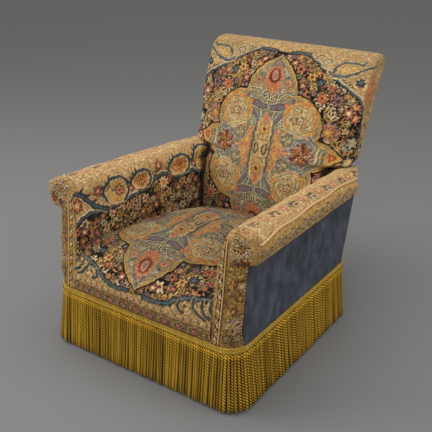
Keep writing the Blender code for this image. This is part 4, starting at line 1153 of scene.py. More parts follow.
def arm_cloth(along, up):
    """Dark garden, a teal line, a gold border of framed flowers, then sprigs on the roll."""
    p = Pattern(along, up, "night")
    wave = [
        (-38.0, 19.0), (-32.0, 20.2), (-28.0, 22.0), (-24.0, 22.7), (-20.0, 22.0), (-15.0, 21.7),
        (-10.0, 22.0), (-5.0, 22.4), (0.0, 22.7), (3.0, 23.3), (5.5, 24.6), (8.0, 25.2),
        (11.0, 25.4), (14.0, 24.8), (16.0, 23.9), (18.0, 22.6), (20.5, 22.0), (24.0, 22.3),
        (27.0, 22.4), (30.0, 20.6), (35.0, 19.8), (48.0, 19.8)
    ]
    p.field(wave + [(48.0, 60.0), (-38.0, 60.0)], (0.0, "sand"))
    p.garden(3.9, 31)
    p.strew("night", 1.3, 32, "night umber gold night leaf ochre", 1.2, 0.30)
    for at, radius, petals, dyes in (
        ((-28.0, 17.6), 1.7, 6, "night rose rust cream"),
        ((10.5, 22.4), 2.6, 9, "night cream salmon orange"),
        ((-3.6, 18.0), 1.7, 6, "night pale salmon rust"),
        ((2.2, 15.2), 1.6, 5, "night gold orange rust"),
        ((9.4, 17.0), 2.2, 7, "night gold ochre leaf"),
        ((23.0, 16.6), 1.7, 6, "night rose mauve rust"),
        ((25.6, 20.8), 1.5, 6, "night tan salmon rust"),
        ((-5.6, 21.0), 1.3, 5, "night gold orange rust"),
        ((-12.2, 18.4), 1.5, 6, "night gold ochre umber"),
        ((-19.6, 18.0), 1.6, 7, "night pale sage rust"),
        ((17.4, 18.6), 1.4, 5, "night gold rust gold"),
        ((-22.6, 15.6), 1.5, 5, "night rose umber rose")
    ):
        p.flower(at, radius, petals, dyes)
    p.strew("sand", 0.85, 93, "ochre tan rose cream gold sage salmon tan", 1.0, 0.32)
    p.stroke(wave, (1.7, "night"), (1.1, "deep_teal"), (0.7, "teal"), (0.25, "slate"), teeth=0.10)
    p.stroke([(x, y + 0.9) for x, y in wave], (0.42, "cream"))
    feather = (
        (-34.0, 31.8), (-30.0, 31.0), (-26.6, 29.4), (-24.2, 27.0), (-21.8, 24.2), (-17.0, 21.8)
    )
    p.stroke(
        feather, (2.3, "cream"), (1.9, "umber"), (1.7, "deep_teal"), (0.7, "teal"), (0.2, "slate"),
        teeth=0.22
    )
    for x, y, turn in (
        (-29.2, 31.9, 0.5), (-26.2, 30.6, 0.3), (-23.6, 28.2, 0.1), (-21.2, 25.8, 0.0)
    ):
        p.leaf((x, y), 2.8, 0.95, turn, "deep_teal")
    for (x, y), radius, tall, ground in (
        ((-11.6, 26.2), 5.0, 0.82, "gold"), ((0.4, 26.4), 4.4, 0.66, "salmon"),
        ((20.4, 26.0), 5.4, 0.60, "salmon"), ((33.6, 25.4), 5.2, 0.86, "gold"),
        ((44.0, 26.0), 4.4, 0.7, "salmon")
    ):
        for inset, dye in ((-1.0, "tan"), (-0.2, "cream"), (0.4, "tan"), (0.7, "gold")):
            p.blob((x, y), radius - inset, dye, 11, 0.03, 0, tall)
        scroll = [
            (x + (radius + 0.5) * math.cos(a), y + (radius + 0.5) * tall * math.sin(a))
            for a in np.linspace(-1.1, 3.6, 16)
        ]
        p.stroke(
            scroll, (1.5, "cream"), (1.1, "umber"), (0.9, "deep_teal"), (0.35, "teal"), teeth=0.14
        )
        for k in range(4):
            turn = 2.0 + 0.36 * k
            for length, width, dye in ((3.2, 0.95, "deep_teal"), (1.8, 0.3, "teal")):
                at = round_about((x, y), radius + 0.9, turn, tall)
                p.leaf(at, length, width, turn - 0.8, dye)
        if ground == "salmon":
            p.blob((x, y), radius - 1.2, "rust", 8, 0.1, 0, tall)
            p.blob((x, y), radius - 1.5, "salmon", 8, 0.1, 0, tall)
            p.blob((x, y), radius - 2.3, "gold", 8, 0.1, 0, tall)
            p.flower((x, y), 1.7, 7, "rust gold orange rust")
        else:
            for k in range(9):
                p.leaf(
                    (x - 3.0 + 0.6 * k, y + 1.9 - 0.4 * k), 2.6, 0.6, 1.0 + 0.5 * k,
                    one_of("leaf cream ochre sage", k)
                )
            p.flower((x + 1.4, y - 0.2), 1.8, 6, "umber rose salmon rust")
    for at, radius in (
        ((-28.6, 26.4), 2.1), ((9.4, 28.8), 1.7), ((-19.4, 28.4), 1.7), ((-32.4, 26.4), 1.4),
        ((28.0, 24.6), 1.2), ((-5.0, 25.0), 1.1), ((7.2, 26.6), 0.9)
    ):
        p.flower(at, radius, 6, "umber salmon rust cream")
    p.stroke([(-38.0, 33.6), (48.0, 33.6)], (0.5, "tan"), (0.26, "cream"))
    for x in (-26.9, -26.1, -25.3):
        p.stroke([(x - 0.6, 34.6), (x, 37.0), (x, 46.0)], (0.5, "tan"), (0.28, "cream"))
    for k in range(17):
        x = -34.4 + 5.15 * k
        if k % 2:
            p.flower((x, 37.9), 1.15, 6, "tan rose salmon cream")
            p.leaf((x + 1.9, 38.9), 1.7, 0.5, 0.6, "salmon")
            p.leaf((x - 1.7, 36.9), 1.7, 0.5, 0.4, "rose")
        else:
            for j, dye in enumerate(
                ("leaf", "deep_teal", "sage", "deep_teal", "cream", "umber", "deep_teal", "leaf")
            ):
                p.leaf((x - 1.6 + 0.45 * j, 38.0 + 0.6 * (-1) ** j), 2.3, 0.62, 0.5 + 0.45 * j, dye)
            p.blob((x + 0.2, 38.1), 0.4, "rose")
    return p.done(15)


make_arm(1, "right")
make_arm(-1, "left")


# Sprung seat
# A crowned pad on springs with a firm front edge; its cover goes down the front to the rail.
# The same medallion runs over the front edge, and its tip points to the floor.
SEAT_MIDDLE = (
    (-0.3325, 0.190), (-0.3325, 0.2055), (-0.3410, 0.2105), (-0.3475, 0.240), (-0.3495, 0.268),
    (-0.3440, 0.296), (-0.328, 0.323), (-0.300, 0.348), (-0.250, 0.374), (-0.180, 0.392),
    (-0.100, 0.399), (0.000, 0.394), (0.100, 0.375), (0.200, 0.341), (0.260, 0.316), (0.2910, 0.300)
)
SEAT_SIDE = (
    (-0.3325, 0.190), (-0.3325, 0.2055), (-0.3345, 0.2110), (-0.3355, 0.236), (-0.3340, 0.262),
    (-0.328, 0.288), (-0.312, 0.314), (-0.280, 0.335), (-0.240, 0.345), (-0.180, 0.341),
    (-0.100, 0.330), (0.000, 0.316), (0.100, 0.302), (0.200, 0.287), (0.260, 0.279), (0.300, 0.274),
)
SEAT_BELOW = (
    (0.285, 0.224), (0.240, 0.2306), (0.150, 0.2436), (0.050, 0.258), (-0.060, 0.2738),
    (-0.160, 0.288), (-0.240, 0.2997), (-0.277, 0.294), (-0.281, 0.268), (-0.283, 0.240),
    (-0.288, 0.215), (-0.297, 0.2014), (-0.3256, 0.1985),
)
SEAT_CROWN = 2.6
SEAT_MEDALLION_UP = 42.6
SEAT_FINE_RUN, SEAT_FAR_ROWS, SEAT_COLUMNS = 0.56, 44, 205
SEAT_ARM_GAP = 0.001
SEAT_RUN_FOOT = 0.0155
SEAT_LUMPS = ((0.13, 0.0032, 5), (0.05, 0.0009, 6))
# Painted shade on the seat's top, deep between the arms: its share, and the distances up the cover
# in centimetres over which it comes in.
SEAT_TOP_PAINTED_SHADE, SEAT_SHADE_FROM, SEAT_SHADE_TO = 0.45, 9.0, 24.0
BORDER_FROM, BORDER_TO = 7.2, 7.5
SEAT_EDGE = (
    (0.0, 34.4), (3.0, 34.2), (9.0, 34.4), (12.0, 33.6), (14.0, 32.1), (17.0, 30.6), (21.0, 29.6),
    (25.0, 28.6), (28.0, 28.0), (34.0, 27.5), (34.0, 0.0),
)


def make_seat():
    """The closed seat, row by row up its front, back over the crown, and then below."""
    knots = np.arange(len(SEAT_MIDDLE))
    middle_y, middle_z, side_y, side_z = (
        np.stack([knots, values], 1) for line in (SEAT_MIDDLE, SEAT_SIDE) for values in zip(*line)
    )
    fine = np.linspace(0.0, knots[-1], FINE_STEPS)
    run = run_of(smooth(middle_y, fine), smooth(middle_z, fine))
    along = np.concatenate(
        [np.arange(0.0, SEAT_FINE_RUN, STITCH), np.linspace(SEAT_FINE_RUN, run[-1], SEAT_FAR_ROWS)]
    )
    t = np.interp(along, run, fine)
    u = np.linspace(-1.0, 1.0, SEAT_COLUMNS)
    mix = np.abs(u) ** SEAT_CROWN
    y = smooth(middle_y, t)[:, None] * (1 - mix) + smooth(side_y, t)[:, None] * mix
    z = smooth(middle_z, t)[:, None] * (1 - mix) + smooth(side_z, t)[:, None] * mix
    x = u * (arm_inner_x(y, z) - SEAT_ARM_GAP)
    path = np.broadcast_to((along - SEAT_RUN_FOOT)[:, None], x.shape)
    soft = stuffing(x, path, SEAT_LUMPS)
    soft *= ease(path, 0.02, 0.10) * ease(0.262 - np.abs(x), 0.0, 0.04)
    under = []
    for below_y, below_z in SEAT_BELOW:
        xs = u * (float(arm_inner_x(below_y, below_z)) - SEAT_ARM_GAP)
        under.append(np.stack([xs, np.full_like(xs, below_y), np.full_like(xs, below_z)], -1))
    points = np.concatenate([np.stack([x, y, z + soft], -1), under])

    up = path * 100
    dyes = carpet(x * 100, up - SEAT_MEDALLION_UP, SEAT_EDGE, seat_corner)
    # Painted shade: the seat's top is darkened behind its front edge.
    dyes *= 1 - SEAT_TOP_PAINTED_SHADE * ease(up, SEAT_SHADE_FROM, SEAT_SHADE_TO)[..., None]
    share = ease(up, BORDER_FROM, BORDER_TO)[..., None]
    dyes = seat_border(x * 100, up) * (1 - share) + dyes * share
    dyes = np.concatenate([dyes, np.tile(DYES["umber"], (len(under), len(u), 1))])
    points, dyes = join_ends(points, 0), join_ends(dyes, 0)
    seat = lattice("seat_cover", points, moquette, closed=True, dyes=dyes)
    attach(seat, "root")
    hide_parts("seat_pad")


def seat_corner(p, sx, sy):
    """A front corner of the seat's cover: a teal line over curls, petals and a small flower."""
    there, spot = mirrored(sx, sy)[:2]
    for k in range(7):
        at = spot(13.6 + 2.4 * k, 33.9 - 0.40 * k)
        for length, width, dye in (
            (3.4, 1.5, "leaf"), (3.0, 1.1, "sand"), (2.0, 0.5, one_of("gold ochre", k))
        ):
            p.leaf(at, length, width, sx * sy * (1.1 + 0.15 * k), dye)
    p.stroke(
        there(*SEAT_EDGE[1:9]), (1.6, "night"), (1.25, "deep_teal"), (0.95, "teal"), (0.4, "slate"),
        teeth=0.08
    )
    for curl in (
        ((15.6, 31.6), (15.2, 33.2), (16.4, 34.6), (17.8, 34.2), (17.6, 32.8)),
        ((19.6, 30.2), (20.0, 32.2), (21.8, 34.0), (24.2, 34.9)),
        ((22.2, 29.6), (22.4, 31.6), (24.0, 33.4), (26.6, 34.4)),
        ((24.8, 28.9), (24.8, 30.8), (26.2, 32.6), (28.6, 33.6)),
        ((27.2, 28.5), (27.2, 30.0), (28.4, 31.4), (30.4, 32.4))
    ):
        p.stroke(
            there(*curl), (1.3, "sand"), (0.95, "umber"), (0.75, "deep_teal"), (0.3, "teal"),
            teeth=0.06
        )
    p.flower(spot(18.6, 34.0), 1.2, 5, "tan cream salmon rust")


def seat_border(x, up):
    """Border along the seat's front: a row of cream flowers over a band of leaves and flowers."""
    p = Pattern(x, up, "sand")
    p.field([(-30.0, -2.0), (30.0, -2.0), (30.0, 4.9), (-30.0, 4.9)], (0.0, "umber"), (0.3, "tan"))
    p.strew("tan", 0.8, 41, "ochre umber leaf rose sand", 1.0, 0.34)
    p.strew("sand", 0.8, 42, "cream tan rose ochre gold", 1.0, 0.34)
    for k in range(22):
        p.flower((-26.5 + 2.5 * k, 6.3), 1.0, 5, "ochre cream %s rust" % one_of("rose salmon", k))
        p.leaf((-25.2 + 2.5 * k, 6.1), 1.2, 0.5, 1.5, "leaf")
    for k in range(11):
        at = -26.0 + 5.2 * k
        p.flower((at, 2.5), 1.2, 6, "umber rose salmon rust")
        p.spray((at + 1.6, 2.5), 1.9, 0.2, "deep_teal", "sage")
        p.spray((at - 1.5, 2.5), 1.6, 2.9, "leaf", "gold")
    return p.done(25)


make_seat()


# Arm facings
# A panel of the cloth is pulled over each arm's front and round the corner of the body.
# It is tacked under the band and blind stitched along the inner edge.
SEAM_LINES = {
    1: (
        (0.19, 0.2830), (0.207, 0.2830), (0.283, 0.2850), (0.35, 0.2865), (0.45, 0.2858),
        (0.515, 0.2868), (0.55, 0.2868)
    ),
    -1: (
        (0.19, 0.2900), (0.25, 0.2893), (0.30, 0.2890), (0.34, 0.2899), (0.395, 0.2912),
        (0.43, 0.2925), (0.464, 0.2940), (0.50, 0.2950), (0.55, 0.2950)
    )
}
SEAM_TOP_FROM, SEAM_TOP_TO = 0.497, 0.512
SEAM_GAP = 0.0028
FACING_HEIGHTS = np.concatenate([np.linspace(0.1902, 0.530, 126), np.linspace(0.5315, 0.5496, 20)])
FACING_COLUMNS = 42
FACING_EDGE, FACING_TOP_FADE = 0.018, 0.020
FACING_THICK = 0.0048
FACING_LUMPS, FACING_LUMP_SIZE, FACING_DOME = 0.0012, 0.05, 0.0045
ROLL_HANGS, ROLL_TUCK, TUCK_POWER = 0.047, 0.019, 2.5
BODY_HALF = 0.3445
COVER_CORNER_LOW, COVER_CORNER_HIGH = 0.0605, 0.034
CORNER_FROM, CORNER_TO = 0.203, 0.262
WRAP = math.radians(70)


def cover_corner(z):
    """Radius of the covered corner: rounder at the braid than above it."""
    share = ease(z, CORNER_FROM, CORNER_TO)
    return COVER_CORNER_LOW + (COVER_CORNER_HIGH - COVER_CORNER_LOW) * share


def fall_back(radius, inset):
    """How far a rounded edge falls back at a distance inside it."""
    short = np.maximum(0.0, radius - np.maximum(0.0, inset))
    return radius - np.sqrt(np.maximum(0.0, radius * radius - short * short))


def facing_out_x(z, y):
    """The facing's outer edge: the body's corner, then under and round the roll."""
    lift = np.minimum(1.0, np.abs(z - roll_z(y)) / ROLL_HALF_HEIGHT)
    above = roll_x(y) + ROLL_HALF_WIDTH * np.sqrt(np.maximum(0.0, 1 - lift * lift))
    below = roll_x(y) + ROLL_HALF_WIDTH - ROLL_TUCK * lift ** TUCK_POWER
    body = BODY_HALF - cover_corner(z) * (1 - math.sin(WRAP))
    return np.where(z > roll_z(y), above, np.where(z < roll_z(y) - ROLL_HANGS, body, below))


def facing_y(x, z):
    """The facing's face: flat in the middle, round to its outer edge and over the top."""
    y = face_y(z)
    rx, rz = roll_x(y), roll_z(y)
    body = y + fall_back(cover_corner(z), BODY_HALF - x)
    outer = fall_back(FACING_EDGE, facing_out_x(z, y) - x)
    reach = np.hypot((x - rx) / ROLL_HALF_WIDTH, (z - rz) / ROLL_HALF_HEIGHT)
    top = fall_back(FACING_EDGE, (1 - reach) * ROLL_HALF_HEIGHT)
    fade = np.where(x > rx, 1.0, np.minimum(1.0, np.maximum(0.0, (z - rz) / FACING_TOP_FADE)))
    upper = y + np.maximum(np.where(x > rx, outer, 0.0), top * fade)
    return np.where(z < rz - ROLL_HANGS, body, np.where(z <= rz, y + outer, upper))


def thicken(cover, thick):
    """The cloth's own thickness, inwards from its face."""
    wall = cover.modifiers.new("cloth", "SOLIDIFY")
    wall.thickness = thick
    wall.offset = -1.0


def make_facing(side, name):
    """A panel in rows up the arm's front, from its seam out round the body's corner."""
    heights = FACING_HEIGHTS
    share = np.sin(np.linspace(0, math.pi / 2, FACING_COLUMNS))
    y = face_y(heights)
    lift = np.maximum(0.0, (heights - roll_z(y)) / ROLL_HALF_HEIGHT)
    inside = roll_x(y) - ROLL_HALF_WIDTH * np.sqrt(np.maximum(0.0, 1 - lift * lift))
    low = np.maximum(smooth(SEAM_LINES[side], heights) + SEAM_GAP, inside)
    low += (inside - low) * ease(heights, SEAM_TOP_FROM, SEAM_TOP_TO)
    high = facing_out_x(heights, y)
    relax(high, 5)
    x = low[:, None] + (high - low)[:, None] * share
    z = np.repeat(heights[:, None], len(share), 1)
    here = facing_y(x, z)
    relax(here, 3)
    free = ease(x - low[:, None], 0.0, 0.02)
    here -= FACING_LUMPS * lumps(x, z, FACING_LUMP_SIZE, 40 + side) * free
    out = np.hypot((x - roll_x(-0.29)) / ROLL_HALF_WIDTH, (z - roll_z(-0.29)) / ROLL_HALF_HEIGHT)
    here -= FACING_DOME * np.clip(1 - out ** 2, 0.0, 1.0) * free
    points = np.stack([x * side, here, z], -1)
    spread = low[:, None] + run_of(x, here, 1)
    edge = np.stack([spread[:, -1], heights], 1)
    if side < 0:
        points, spread, z = points[:, ::-1], spread[:, ::-1], z[:, ::-1]
    dyes = facing_cloth(spread * 100, z * 100, edge * 100, side)
    facing = lattice("arm_facing_cover_" + name, points, moquette, dyes=dyes)
    thicken(facing, FACING_THICK)
    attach(facing, "root")
    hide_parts("arm_facing_" + name)


def facing_cloth(x, z, edge, side):
    """Dull gold cloth with a few flowers, paler on the roll, with dots down its outer edge."""
    p = Pattern(x, z, "ochre")
    p.field(
        [
            (20.0, 45.8), (29.0, 45.2), (32.0, 46.2), (35.0, 45.2), (46.0, 45.8), (46.0, 60.0),
            (20.0, 60.0)
        ],
        (0.0, "sand")
    )
    p.strew("ochre", 0.62, 51 + side, "tan gold leaf umber tan sand ochre gold", 0.9, 0.32)
    p.strew("sand", 0.62, 55 + side, "ochre gold ochre tan rose leaf tan gold", 0.9, 0.36)
    drop = 2.0 * (side < 0)
    for at, radius, petals, dyes in (
        ((34.0, 39.0), 1.75, 6, "umber sand ochre cream"),
        ((31.8, 45.6), 0.8, 5, "umber mauve umber mauve"),
        ((30.6, 43.4), 0.8, 5, "leaf gold rust gold"),
        ((34.6, 46.6), 1.2, 5, "umber rust orange rust"),
        ((32.2, 31.8), 0.9, 5, "umber rose rust cream"),
        ((33.6, 41.6), 1.1, 5, "umber gold umber sand"),
        ((31.0, 23.0), 1.3, 5, "umber sand leaf rust"),
        ((34.0, 23.6), 1.2, 5, "umber cream leaf umber"),
        ((33.6, 35.6), 0.9, 5, "umber gold rust cream"),
        ((30.4, 36.4), 0.7, 5, "leaf rose rust cream")
    ):
        p.flower((at[0] + 0.6 * (side < 0), at[1] + drop), radius, petals, dyes)
    for k, spot in enumerate(
        ((31.2, 41.6), (33.8, 42.0), (30.6, 34.0), (33.8, 31.4), (30.4, 29.8), (32.0, 20.8))
    ):
        p.spray(
            (spot[0], spot[1] + drop), 1.8, 0.9 + 1.3 * k, one_of("sand gold tan", k),
            one_of("leaf umber", k)
        )
    for k in range(3):
        p.leaf(
            (30.9 + 0.5 * k, 39.4 + drop + 0.5 * k), 1.7, 0.5, 0.4 + 0.6 * k,
            one_of("rust salmon rust", k)
        )
    for (x, y), petals, reach in (((32.5, 27.6 + drop), 6, 1.5), ((33.4, 49.8 + drop), 8, 2.2)):
        for k in range(petals):
            way = 0.4 + 2 * math.pi * k / petals
            petal = round_about((x, y), reach, way)
            for length, width, dye in (
                (2.3, 1.75, "umber"), (2.0, 1.4, "cream"), (1.5, 0.85, one_of("umber mauve", k))
            ):
                p.leaf(petal, length, width, way, dye)
        p.blob((x, y), 0.55 * reach, "umber")
        for k in range(7):
            p.blob(round_about((x, y), 0.34 * reach * (k > 0), 1.05 * k), 0.26, "gold")
    for k, level in enumerate(np.arange(19.6, 47.0, 0.45)):
        at = float(np.interp(level, edge[:, 1], edge[:, 0])) - 0.20
        p.blob((at, level), 0.22, one_of("cream night sand umber", k))
    # The facing's cloth is toned down a little all over, and a painted shadow of the roll's
    # overhang darkens a band across its outer part just under the roll.
    under_roll_shadow = np.exp(-((p.y - 45.2) / 0.6) ** 2) * ease(p.x, 31.5, 34.5)
    p.colour *= np.array((0.86, 0.84, 0.80)) * (1 - 0.62 * under_roll_shadow[:, None])
    return p.done(45 + side)


make_facing(1, "right")
make_facing(-1, "left")


# Arm bands
# A strip of the same cloth goes from the piping down the outside of each roll, and turns in
# under it, where it is tacked.
BAND_FRONT, BAND_REAR = -0.250, 0.350
BAND_PROUD = 0.0016
BAND_THICK = 0.0042
BAND_KNOTS, BAND_ROWS, BAND_COLUMNS = 7, 210, 44
BAND_LUMPS, BAND_LUMP_SIZE = 0.0010, 0.06
BAND_FRONT_PATH = (
    (0.0575, 0.0), (0.0550, -0.015), (0.0490, -0.030), (0.0410, -0.0435), (0.0165, -0.0445),
)
BAND_REAR_PATH = (
    (0.0575, 0.0), (0.0565, -0.006), (0.0555, -0.012), (0.0530, -0.0190), (0.0390, -0.0200),
)
PIPING_ANGLE = (
    (-0.32, 17.0), (-0.27, 26.0), (-0.15, 34.5), (0.0, 38.5), (0.19, 42.0), (0.27, 41.0),
    (0.36, 36.5)
)


def toward_rear(y, front, rear):
    """A measure that changes evenly from the roll's front to its rear."""
    return front + (rear - front) * np.clip((y - BAND_FRONT) / (BAND_REAR - BAND_FRONT), 0.0, 1.0)


def make_band(side, name):
    """A strip in rows along the roll, each a smooth path from the piping to under the roll."""
    ways = np.linspace(0.0, 1.0, BAND_ROWS)[:, None]
    start = float(face_y(ROLL_HEIGHT)) + 0.010
    along = start + (BAND_REAR - start) * ways
    top = np.radians(smooth(PIPING_ANGLE, along[:, 0]) - 3.0)
    knots = np.empty((len(ways), BAND_KNOTS, 2))
    for k, share in enumerate((1.0, 0.5)):
        knots[:, k, 0] = (ROLL_HALF_WIDTH + BAND_PROUD) * np.cos(top * share)
        knots[:, k, 1] = (ROLL_HALF_HEIGHT + BAND_PROUD) * np.sin(top * share)
    for k, (front, rear) in enumerate(zip(BAND_FRONT_PATH, BAND_REAR_PATH)):
        for c in (0, 1):
            knots[:, 2 + k, c] = toward_rear(along[:, 0], front[c], rear[c])
    t, order = np.linspace(0.0, BAND_KNOTS - 1, BAND_COLUMNS), np.arange(BAND_KNOTS)
    path = np.array([[smooth(np.stack([order, row[:, c]], 1), t) for c in (0, 1)] for row in knots])
    lean = face_y(ROLL_HEIGHT + path[0, 1]) - face_y(ROLL_HEIGHT)
    y = along + lean[None] * (1 - ways)
    behind = np.maximum(0.0, y - face_y(roll_z(y) + path[:, 1]))
    inset = 1 - fall_back(FACING_EDGE, behind) / ROLL_HALF_WIDTH
    x = roll_x(y) + path[:, 0] * inset
    z = roll_z(y) + path[:, 1] * inset
    reach = run_of(x, z, 1)
    soft = BAND_LUMPS * lumps(y, reach, BAND_LUMP_SIZE, 50 + side)
    points = np.stack([(x + soft) * side, y, z], -1)
    if side < 0:
        points, y, reach = points[:, ::-1], y[:, ::-1], reach[:, ::-1]
    dyes = band_cloth(y * 100, reach * 100)
    band = lattice("arm_band_cover_" + name, points, moquette, dyes=dyes)
    thicken(band, BAND_THICK)
    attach(band, "root")
    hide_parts("arm_band_" + name)


def band_cloth(along, down):
    """Gold cloth with a row of flowers, leaves between them."""
    p = Pattern(along, down, "gold")
    p.strew("gold", 0.75, 61, "sand ochre cream tan sand rose", 1.0, 0.36)
    for k in range(9):
        at = -28.0 + 8.0 * k
        p.flower((at, 3.2), 1.3, 6, "umber cream salmon rust")
        p.flower((at + 4.0, 3.8), 1.1, 5, "umber gold %s cream" % one_of("rust rose", k))
        p.spray((at + 1.4, 3.4), 2.0, 0.4, "pale", "leaf")
        p.spray((at + 6.6, 3.6), 1.9, 2.6, "cream", "leaf")
    return p.done(65)


make_band(1, "right")
make_band(-1, "left")


# Pipings
# Thin cords covered in pale cloth, sewn along the facings' inner edges and along the rolls.
# The one on the roll covers the seam between the arm's cover and its band.
FACING_PIPING_RADIUS, ARM_PIPING_RADIUS = 0.0021, 0.0034
PIPING_LOW = 0.2062
PIPING_PROUD, PIPING_SWING, PIPING_LEAN = 0.0040, 0.0009, 0.035
CORD_SIDES = 10


def round_cord(name, path, radius, material, twist=0.0, depth=0.0):
    """A round cord along the points, with two plies where it is twisted. It keeps its run."""
    path = np.array(path, float)
    way = np.gradient(path, axis=0)
    way /= np.linalg.norm(way, axis=1, keepdims=True)
    aside = np.cross(way, np.array((0.31, 0.17, 0.93)))
    aside /= np.linalg.norm(aside, axis=1, keepdims=True)
    other = np.cross(way, aside)
    run = np.concatenate([[0.0], np.linalg.norm(np.diff(path, axis=0), axis=1).cumsum()])
    turn = np.linspace(0.0, 2 * math.pi, CORD_SIDES + 1)
    size = radius * (1 + depth * np.cos(2 * turn[None] - twist * run[:, None]))
    across, over = np.cos(turn)[None, :, None], np.sin(turn)[None, :, None]
    points = path[:, None] + (aside[:, None] * across + other[:, None] * over) * size[..., None]
    threads = np.stack(np.broadcast_arrays(turn[None] * radius, run[:, None]), -1)
    return lattice(name, points, material, closed=True, threads=threads)


PALE_CLOTH = ((0.3, linear(176, 136, 82)), (0.7, linear(230, 196, 138)))
piping_cloth = noise_finish(
    "piping_cloth", linear(205, 172, 118), 0.85, (500.0, 500.0, 500.0), 2.0, PALE_CLOTH,
    (0.5, 0.0006)
)


def make_pipings(side, name):
    """The facing's cord up its seam, and the arm's cord along the top of its roll."""
    z = np.linspace(PIPING_LOW, SEAM_TOP_TO - 0.003, 64)
    face = np.stack([smooth(SEAM_LINES[side], z) * side, face_y(z) - 0.0015, z], 1)
    seam = round_cord("facing_cord_" + name, face, FACING_PIPING_RADIUS, piping_cloth)
    y = np.linspace(BAND_REAR + 0.006, float(face_y(0.50)) + 0.008, 110)
    inset = 1 - fall_back(FACING_EDGE, np.maximum(0.0, y - face_y(0.51))) / ROLL_HALF_WIDTH
    out = PIPING_PROUD + PIPING_SWING * np.sin(y * 47.0)
    angle = np.radians(smooth(PIPING_ANGLE, y)) + PIPING_LEAN * np.sin(y * 31.0 + side)
    x = roll_x(y) + (ROLL_HALF_WIDTH + out) * inset * np.cos(angle)
    top = np.stack([x * side, y, roll_z(y) + (ROLL_HALF_HEIGHT + out) * inset * np.sin(angle)], 1)
    edge = round_cord("arm_cord_" + name, top, ARM_PIPING_RADIUS, piping_cloth)
    for piece, node in ((seam, "facing_piping_"), (edge, "arm_piping_")):
        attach(piece, "root")
        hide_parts(node + name)


make_pipings(1, "right")
make_pipings(-1, "left")


# Guard stripes
# A narrow woven strip of black and cream scrolls covers the seam along each inside arm's front.
# It is blind stitched from the seat's rail up to the roll.
GUARD_THICK = 0.0012
GUARD_ROWS, GUARD_COLUMNS = 154, 15
GUARD_PROUD, GUARD_TOP_BACK, GUARD_CROWN = 0.0016, 0.0045, 0.0012
GUARD_SEAM_GAP = 0.0022
WALL_TOP = 0.456
WALL_TOP_LINE = ((0.456, 0.50, 0.512), (0.062, 0.0545, 0.0535))


def make_guard(side, name):
    """A strip in rows up the arm's front, from the inside wall out to the facing's cord."""
    z = np.linspace(PIPING_LOW, SEAM_TOP_TO, GUARD_ROWS)
    y = face_y(z) - GUARD_PROUD + GUARD_TOP_BACK * ease(z, SEAM_TOP_FROM, SEAM_TOP_TO)
    upper = roll_x(y) - np.interp(z, *WALL_TOP_LINE)
    low = np.where(z < WALL_TOP, arm_inner_x(y, z), upper) + 0.001
    high = smooth(SEAM_LINES[side], z) - GUARD_SEAM_GAP
    share = np.linspace(0.0, 1.0, GUARD_COLUMNS)
    x = low[:, None] + (high - low)[:, None] * share
    crown = GUARD_CROWN * np.sin(share * math.pi)[None]
    points = np.stack([x * side, y[:, None] - crown, np.repeat(z[:, None], len(share), 1)], -1)
    dyes = guard_cloth((high[:, None] - x) * 100, points[..., 2] * 100)
    if side < 0:
        points, dyes = points[:, ::-1], dyes[:, ::-1]
    stripe = lattice("guard_strip_" + name, points, moquette, dyes=dyes)
    thicken(stripe, GUARD_THICK)
    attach(stripe, "root")
    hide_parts("guard_stripe_" + name)


def guard_cloth(across, up):
    """Light scrolls and dots on black, with a gold line on the side of the seat."""
    p = Pattern(across, up, "tan")
    p.strew("tan", 0.6, 71, "sand gold rose umber", 0.8, 0.3)
    p.field([(-0.2, 19.0), (1.6, 19.0), (1.6, 52.0), (-0.2, 52.0)], (0.0, "night"))
    for k in range(22):
        at = 20.8 + 1.42 * k
        scroll = [(0.35, at - 0.5), (0.85, at - 0.15), (0.65, at + 0.2), (1.2, at + 0.55)]
        p.stroke(scroll, (0.42, one_of("gold cream sand", k)))
        p.blob((1.2, at - 0.25), 0.2, one_of("rust cream", k))
        p.blob((0.4, at + 0.35), 0.2, one_of("cream rust", k))
    p.stroke([(1.78, 19.0), (1.78, 52.0)], (0.34, "gold"))
    return p.done()


make_guard(1, "right")
make_guard(-1, "left")


# Outside arms and outside back
# Plain slate-blue cotton velvet covers the outsides, where the carpet cloth doesn't show.
# It is tacked under the roll and under the braid, and blind stitched to the posts behind.
REAR_CORNER = 0.040
BODY_REAR = 0.345
COVER_LOW = 0.190
PANEL_INNER_END = 0.2935
BACK_PANEL_HALF, BACK_PANEL_TOP = 0.2925, 0.798
VELVET_THICK = 0.0038
ARM_PANEL_LUMPS, BACK_PANEL_LUMPS = 0.0016, 0.0014
UNDER_ROLL_FRONT, UNDER_ROLL_REAR = 0.0454, 0.0208
ARM_PANEL_ROWS, ARM_PANEL_STRAIGHT, ARM_PANEL_CORNER = 30, 70, 12
PANEL_START_GAP = 0.0025


def velvet_finish():
    """Faded cotton velvet: cloudy from pressure on its nap, with a pale sheen at a low angle."""
    tone = ((0.3, linear(56, 60, 68)), (0.5, linear(72, 76, 85)), (0.7, linear(90, 95, 105)))
    material, nodes, links, shader = plain_finish("blue_velvet", linear(58, 62, 76), 0.9)
    nap = object_noise(nodes, links, (30.0, 30.0, 20.0), 8.0)
    nap.inputs["Distortion"].default_value = 0.35
    links.new(colour_steps(nodes, links, nap.outputs["Fac"], tone), shader.inputs["Base Color"])
    shader.inputs["Sheen Weight"].default_value = 0.25
    shader.inputs["Sheen Roughness"].default_value = 0.4
    shader.inputs["Sheen Tint"].default_value = (*linear(150, 158, 175), 1.0)
    shader.inputs["Specular IOR Level"].default_value = 0.15
    pile = object_noise(nodes, links, (900.0, 900.0, 900.0), 1.0)
    raise_by(nodes, links, shader, pile.outputs["Fac"], 0.35, 0.0008)
    return material


velvet = velvet_finish()


